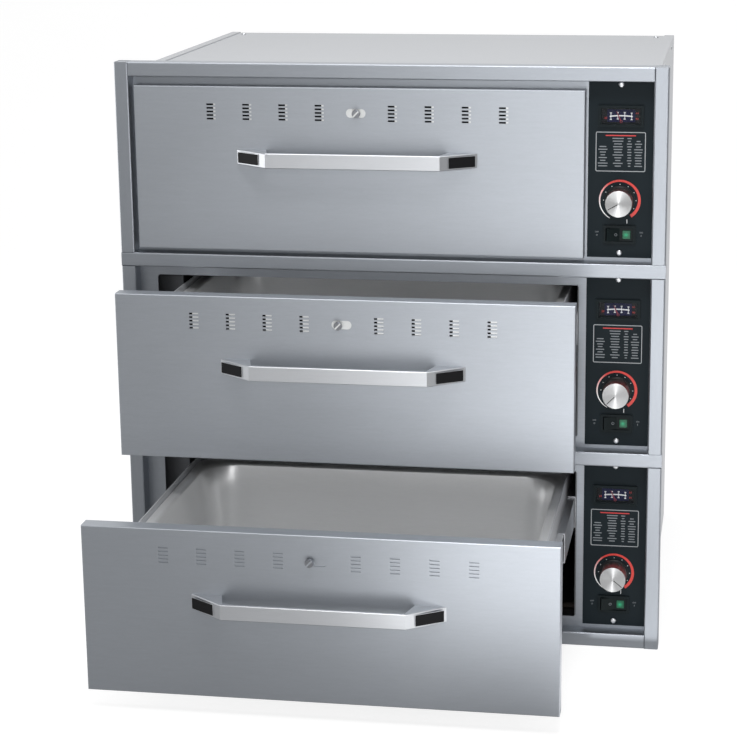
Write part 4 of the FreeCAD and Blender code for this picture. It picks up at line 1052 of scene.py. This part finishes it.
class WARMER_OT_damper_knobs(OperatorBase, bpy.types.Operator):
    """Puts a turned head with a driver slot on the stud of each vent damper"""
    bl_idname = "warmer.damper_knobs"
    bl_label = "Fit the damper knobs"

    def execute(self, context):
        finish = Finish("damper_knob_steel", (0.30, 0.31, 0.33), metallic=1.0, roughness=0.3)
        mottle = finish.group(fine_mottle, Size=700.0)
        finish.vary_tone(mottle.outputs["Cloud"], 0.8, 1.2)
        radius, slot, thick, crown, stud, lobe_steps = 0.0056, 0.0008, 0.0034, 0.0012, 0.0042, 14
        # The crown is two lobes with the driver slot left open between them, at 45 degrees.
        edge = math.asin(slot / radius)
        lobes = []
        for turn in (45.0, 225.0):
            angles = [math.radians(turn) + edge + (math.pi - 2 * edge) * step / lobe_steps
                      for step in range(lobe_steps + 1)]
            lobes.append([(radius * math.cos(angle), radius * math.sin(angle)) for angle in angles])
        for module in MODULES:
            damper = "vent_damper_" + module
            centre = middle(damper)
            place = Matrix.Translation((centre.x, low(damper).y + stud, centre.z))
            work = bmesh.new()
            add_prism(work, round_outline(radius, 28), place, thick)
            for lobe in lobes:
                add_prism(work, lobe, place @ Matrix.Translation((0, -thick, 0)), crown, rim=0.0005)
            finished("damper_knob_" + module, from_bmesh("damper_knob", work), damper, finish.material)
        return {"FINISHED"}


class WARMER_OT_vent_backings(OperatorBase, bpy.types.Operator):
    """Lays a black strip on each carrier's front wall, behind the vents: painted shade that makes the vent
    slots read dark
    """
    bl_idname = "warmer.vent_backings"
    bl_label = "Lay the vent backings"

    def execute(self, context):
        # A black sheet where the slots would show only shade: painted shade.
        shade_sheet = plain_paint("vent_painted_shade", (0.012, 0.012, 0.013), 0.9, speckle=0.5, size=700.0,
                           specular_ior_level=0.05)
        outline, thick = rounded_outline(0.440, 0.030, 0.002), 0.0006
        for module in MODULES:
            centre = middle("vent_damper_" + module)
            place = Matrix.Translation((centre.x, low("drawer_carrier_" + module).y, centre.z))
            finished("vent_backing_" + module, plate("backing", outline, place, thick), "drawer_" + module,
                     shade_sheet)
        return {"FINISHED"}


class WARMER_OT_trim_end_tabs(OperatorBase, bpy.types.Operator):
    """Closes the open ends of the middle rails and of the stiles with folded tabs"""
    bl_idname = "warmer.trim_end_tabs"
    bl_label = "Close the trim's ends"

    def execute(self, context):
        rail_low, rail_high = low("trim_top_rail"), high("trim_top_rail")
        stile_low, stile_high = low("trim_stiles_left"), high("trim_stiles_left")
        width, wall, thick, inset = rail_high.z - rail_low.z, 0.0015, 0.0008, 0.0003
        front, back = rail_low.y + wall, rail_high.y
        inside, deep, depth = width - 2 * wall, back - front, (front + back) / 2
        rail_tab, stile_tab = rounded_outline(deep, inside, 0.0006), rounded_outline(inside, deep, 0.0006)
        work = bmesh.new()
        for side in (-1, 1):
            turn = Matrix.Rotation(side * math.pi / 2, 4, "Z")
            for level in (1, 2):
                end = (side * (-stile_low.x - inset - thick), depth, level * module_pitch() + width / 2)
                add_prism(work, rail_tab, Matrix.Translation(end) @ turn, thick)
            for height, up in ((stile_high.z, 1), (stile_low.z, -1)):
                end = (side * (-stile_low.x - width / 2), depth, height - up * (inset + thick))
                turn_up = Matrix.Rotation(-up * math.pi / 2, 4, "X")
                add_prism(work, stile_tab, Matrix.Translation(end) @ turn_up, thick)
        finished("trim_end_tabs", from_bmesh("tabs", work), CABINET, bpy.data.materials["rail_steel"])
        return {"FINISHED"}


class WARMER_OT_handle_plates(OperatorBase, bpy.types.Operator):
    """Sets a bare black plate with a thin rim on each slanting end of the handles"""
    bl_idname = "warmer.handle_plates"
    bl_label = "Set on the handle plates"

    def execute(self, context):
        black = plain_paint("handle_plate_enamel", (0.008, 0.008, 0.009), 0.45, speckle=0.1,
                            specular_ior_level=0.12)
        rim = bpy.data.materials["handle_steel"]
        # The handle's straight bar ends at bar_half; its ends then slant back to the feet.
        bar_half, foot, skin, outward, leaf = 0.118, 0.004, 0.0038, 0.005, 0.0004
        rim_outline = rounded_outline(0.0400, 0.0155, 0.0012)
        plate_outline = rounded_outline(0.0390, 0.0145, 0.0010)
        for module in MODULES:
            lowest, highest = low("drawer_handle_" + module), high("drawer_handle_" + module)
            centre = (lowest + highest) / 2
            half, reach = (highest.x - lowest.x) / 2, highest.y - lowest.y - foot
            slant = math.atan2(reach, half - bar_half)
            plates, rims = bmesh.new(), bmesh.new()
            for side in (-1, 1):
                x = centre.x + side * (half + bar_half) / 2
                place = (Matrix.Translation((x, highest.y - reach / 2 - skin, centre.z))
                         @ Matrix.Rotation(side * slant, 4, "Z") @ Matrix.Translation((side * outward, 0, 0)))
                add_prism(rims, rim_outline, place, leaf, rim=0.0002)
                on_rim = place @ Matrix.Translation((0, -leaf, 0))
                add_prism(plates, plate_outline, on_rim, 0.0003, rim=0.0002)
            finished("handle_rims_" + module, from_bmesh("rims", rims), "drawer_" + module, rim)
            finished("handle_plates_" + module, from_bmesh("plates", plates), "drawer_" + module, black)
        return {"FINISHED"}


class WARMER_OT_screw_heads(OperatorBase, bpy.types.Operator):
    """Sets a domed cross-slot screw on every screw seat"""
    bl_idname = "warmer.screw_heads"
    bl_label = "Set the screw heads"

    def execute(self, context):
        material = brushed_steel("screw_steel", (0.50, 0.51, 0.53), 0.32, (1.0, 1.0, 1.0), tone_spread=0.04)
        for node in ("panel_screws", "cabinet_screws"):
            seats = [seat(place, normal.to_track_quat("Z", "Y").to_euler())
                     for place, normal in self.seats(node)]
            mesh = copies(node + "_heads", self.head(), seats, material)
            finished(node + "_heads", mesh, CABINET, None, [node])
        return {"FINISHED"}

    def seats(self, node):
        """The middle of each CAD head's flat back, and the way that the head faces."""
        work = bmesh.new()
        work.from_mesh(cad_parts[node].data)
        bmesh.ops.remove_doubles(work, verts=work.verts, dist=1e-6)
        found, left, flat = [], set(work.verts), 1e-6
        while left:
            island, edge = set(), [left.pop()]
            while edge:
                vert = edge.pop()
                island.add(vert)
                for link in vert.link_edges:
                    other = link.other_vert(vert)
                    if other in left:
                        left.discard(other)
                        edge.append(other)
            points = [vert.co.copy() for vert in island]
            lowest = Vector([min(p[i] for p in points) for i in range(3)])
            highest = Vector([max(p[i] for p in points) for i in range(3)])
            size, centre = highest - lowest, (lowest + highest) / 2
            axis = min(range(3), key=lambda i: size[i])
            wide_low = max((p - centre).length for p in points if abs(p[axis] - lowest[axis]) < flat)
            wide_high = max((p - centre).length for p in points if abs(p[axis] - highest[axis]) < flat)
            normal = Vector((0, 0, 0))
            normal[axis] = 1 if wide_low > wide_high else -1
            back = centre.copy()
            back[axis] = lowest[axis] if wide_low > wide_high else highest[axis]
            found.append((back, normal))
        work.free()
        return found

    def head(self):
        """A domed head with a cross-shaped recess, its back at Z = 0."""
        steps, arm, waist, recess_top, recess_floor = 32, 0.0016, 0.0007, 0.0019, 0.0009
        dome = ((0.0039, 0.0), (0.0039, 0.0004), (0.0036, 0.0011), (0.0029, 0.0016), (0.0019, 0.00188))
        outlines = [(round_outline(radius, steps), height) for radius, height in dome]
        reaches = [arm if step % 8 in (0, 1, 7) else waist for step in range(steps)]
        cross = [(reach * x, reach * y) for reach, (x, y) in zip(reaches, round_outline(1.0, steps))]
        outlines += [(cross, recess_top), ([(x * 0.9, y * 0.9) for x, y in cross], recess_floor)]
        work = bmesh.new()
        loops = [[work.verts.new((x, y, height)) for x, y in outline] for outline, height in outlines]
        bridge(work, loops)
        work.faces.new(loops[-1])
        work.faces.new(list(reversed(loops[0])))
        return from_bmesh("screw_head", work)


class WARMER_OT_studio(OperatorBase, bpy.types.Operator):
    """Sets up the floor, the backdrop, the lamps and the camera"""
    bl_idname = "warmer.studio"
    bl_label = "Set up the studio"

    def execute(self, context):
        settings = context.scene.warmer_stage
        self.floor(settings)
        self.world()
        self.lamp("key_lamp", (0.33, -3.30, 0.95), (0.33, -0.3, 0.80), (0.75, 1.85), settings.key_power)
        self.lamp("floor_card", (0.38, -2.06, 0.01), None, (0.74, 2.28), settings.card_power)
        self.lamp("near_card", (0.45, -0.62, 0.01), None, (0.34, 0.62), settings.near_power)
        self.lamp("top_lamp", (0.0, 0.1, 2.6), (0.0, 0.0, 0.6), (2.0, 2.0), settings.top_power)
        self.lamp("front_lamp", (0.30, -1.45, 2.35), (0.1, -0.35, 0.5), (0.5, 0.5), settings.front_power)
        self.lamp("left_lamp", (-2.6, -0.7, 0.9), (0.0, -0.3, 0.5), (1.2, 1.6), settings.left_power)
        camera = bpy.data.cameras.new("camera")
        camera.lens = settings.camera_lens
        camera.sensor_width = 36.0
        camera.shift_x, camera.shift_y = settings.camera_shift
        holder = linked("camera", camera)
        holder.location = settings.camera_place
        holder.rotation_euler = settings.camera_turn
        context.scene.camera = holder
        context.scene.view_settings.view_transform = "Standard"
        return {"FINISHED"}

    def floor(self, settings):
        """A floor that bends up into the backdrop, and that metal and glass see brighter towards the back."""
        finish = Finish("floor_paint", settings.floor_tone, roughness=0.9)
        mottle = finish.group(fine_mottle, Size=60.0)
        finish.vary_tone(mottle.outputs["Cloud"], 0.985, 1.0)
        tree = finish.tree
        rays = tree.nodes.new("ShaderNodeLightPath")
        mirrored = math_node(tree, "MAXIMUM", rays.outputs["Is Glossy Ray"],
                             rays.outputs["Is Transmission Ray"])
        parts = tree.nodes.new("ShaderNodeSeparateXYZ")
        tree.links.new(finish.position, parts.inputs[0])
        fade_start, fade_length, lit_to_the_eye = -0.6, 0.8, 0.80
        behind = math_node(tree, "MULTIPLY_ADD", parts.outputs["Y"], 1 / fade_length,
                           -fade_start / fade_length, clamp=True)
        glow = math_node(tree, "MULTIPLY_ADD", behind, settings.backdrop_glow - settings.floor_glow,
                         settings.floor_glow)
        direct = math_node(tree, "MULTIPLY", rays.outputs["Is Camera Ray"], lit_to_the_eye)
        seen = math_node(tree, "MAXIMUM", direct, math_node(tree, "MULTIPLY", mirrored, glow))
        finish.set(emission_color=(1.0, 1.0, 1.0, 1.0))
        tree.links.new(seen, finish.shader.inputs["Emission Strength"])
        base = low("base_panel").z - 0.0002
        reach, front, depth, height, bend, bend_steps = 9.0, -7.0, 3.2, 5.0, 1.2, 8
        profile = [(front, base), (depth - bend, base)]
        for step in range(1, bend_steps + 1):
            angle = math.radians(90 * step / bend_steps)
            profile.append((depth - bend + bend * math.sin(angle), base + bend * (1 - math.cos(angle))))
        profile.append((depth, base + height))
        work = bmesh.new()
        rows = [[work.verts.new((x, y, z)) for y, z in profile] for x in (-reach, reach)]
        for i in range(len(profile) - 1):
            work.faces.new((rows[0][i], rows[1][i], rows[1][i + 1], rows[0][i + 1]))
        mesh = bpy.data.meshes.new("floor")
        work.to_mesh(mesh)
        work.free()
        mesh.shade_smooth()
        mesh.materials.append(finish.material)
        linked("floor", mesh)

    def world(self):
        """A white room, full strength to the eye and through glass, and weaker in all other light."""
        world = bpy.data.worlds.new("studio_world")
        bpy.context.scene.world = world
        world.use_nodes = True
        tree = world.node_tree
        back = tree.nodes["Background"]
        rays = tree.nodes.new("ShaderNodeLightPath")
        seen = math_node(tree, "MAXIMUM", rays.outputs["Is Camera Ray"], rays.outputs["Is Transmission Ray"])
        diffuse_share, glossy_share = 0.55, 0.6
        plain = math_node(tree, "MULTIPLY_ADD", seen, 1 - diffuse_share, diffuse_share)
        glossy = math_node(tree, "MULTIPLY", rays.outputs["Is Glossy Ray"], glossy_share)
        tree.links.new(math_node(tree, "MAXIMUM", plain, glossy), back.inputs["Strength"])
        back.inputs["Color"].default_value = (1.0, 1.0, 1.0, 1.0)

    def lamp(self, name, place, aim, size, power):
        """A rectangular lamp that shines at a point, or straight up without one."""
        data = bpy.data.lights.new(name, "AREA")
        data.shape = "RECTANGLE"
        data.size, data.size_y = size
        data.energy = power
        item = linked(name, data)
        item.location = place
        item.rotation_euler = (math.pi, 0, 0) if aim is None else (
            Vector(aim) - Vector(place)).to_track_quat("-Z", "Y").to_euler()
        item.visible_camera = False


class WARMER_PT_panel(bpy.types.Panel):
    """A button for each operator, and every setting"""
    bl_label = "Warming drawer cabinet"
    bl_idname = "WARMER_PT_panel"
    bl_space_type = "VIEW_3D"
    bl_region_type = "UI"
    bl_category = "Warmer"

    def draw(self, context):
        for operator in OPERATORS:
            self.layout.operator(operator.bl_idname)
        for group in SETTINGS:
            box = self.layout.box()
            settings = getattr(context.scene, group)
            for label in settings.__annotations__:
                box.prop(settings, label)


OPERATORS = (WARMER_OT_steelwork, WARMER_OT_food_pans, WARMER_OT_heat_scales, WARMER_OT_gauge_dials,
             WARMER_OT_setting_tables, WARMER_OT_switch_marks, WARMER_OT_knob_pointers,
             WARMER_OT_damper_knobs, WARMER_OT_vent_backings, WARMER_OT_trim_end_tabs,
             WARMER_OT_handle_plates, WARMER_OT_screw_heads, WARMER_OT_studio)
SETTINGS = {"warmer_steel": WARMER_PG_steel, "warmer_controls": WARMER_PG_controls,
            "warmer_stage": WARMER_PG_stage}


def register():
    for item in (*SETTINGS.values(), *OPERATORS, WARMER_PT_panel):
        bpy.utils.register_class(item)
    for name, group in SETTINGS.items():
        setattr(bpy.types.Scene, name, bpy.props.PointerProperty(type=group))


def unregister():
    for name in SETTINGS:
        delattr(bpy.types.Scene, name)
    for item in reversed((*SETTINGS.values(), *OPERATORS, WARMER_PT_panel)):
        bpy.utils.unregister_class(item)


def main():
    register()
    for operator in OPERATORS:
        family, name = operator.bl_idname.split(".")
        getattr(getattr(bpy.ops, family), name)()


if __name__ == "__main__":
    main()
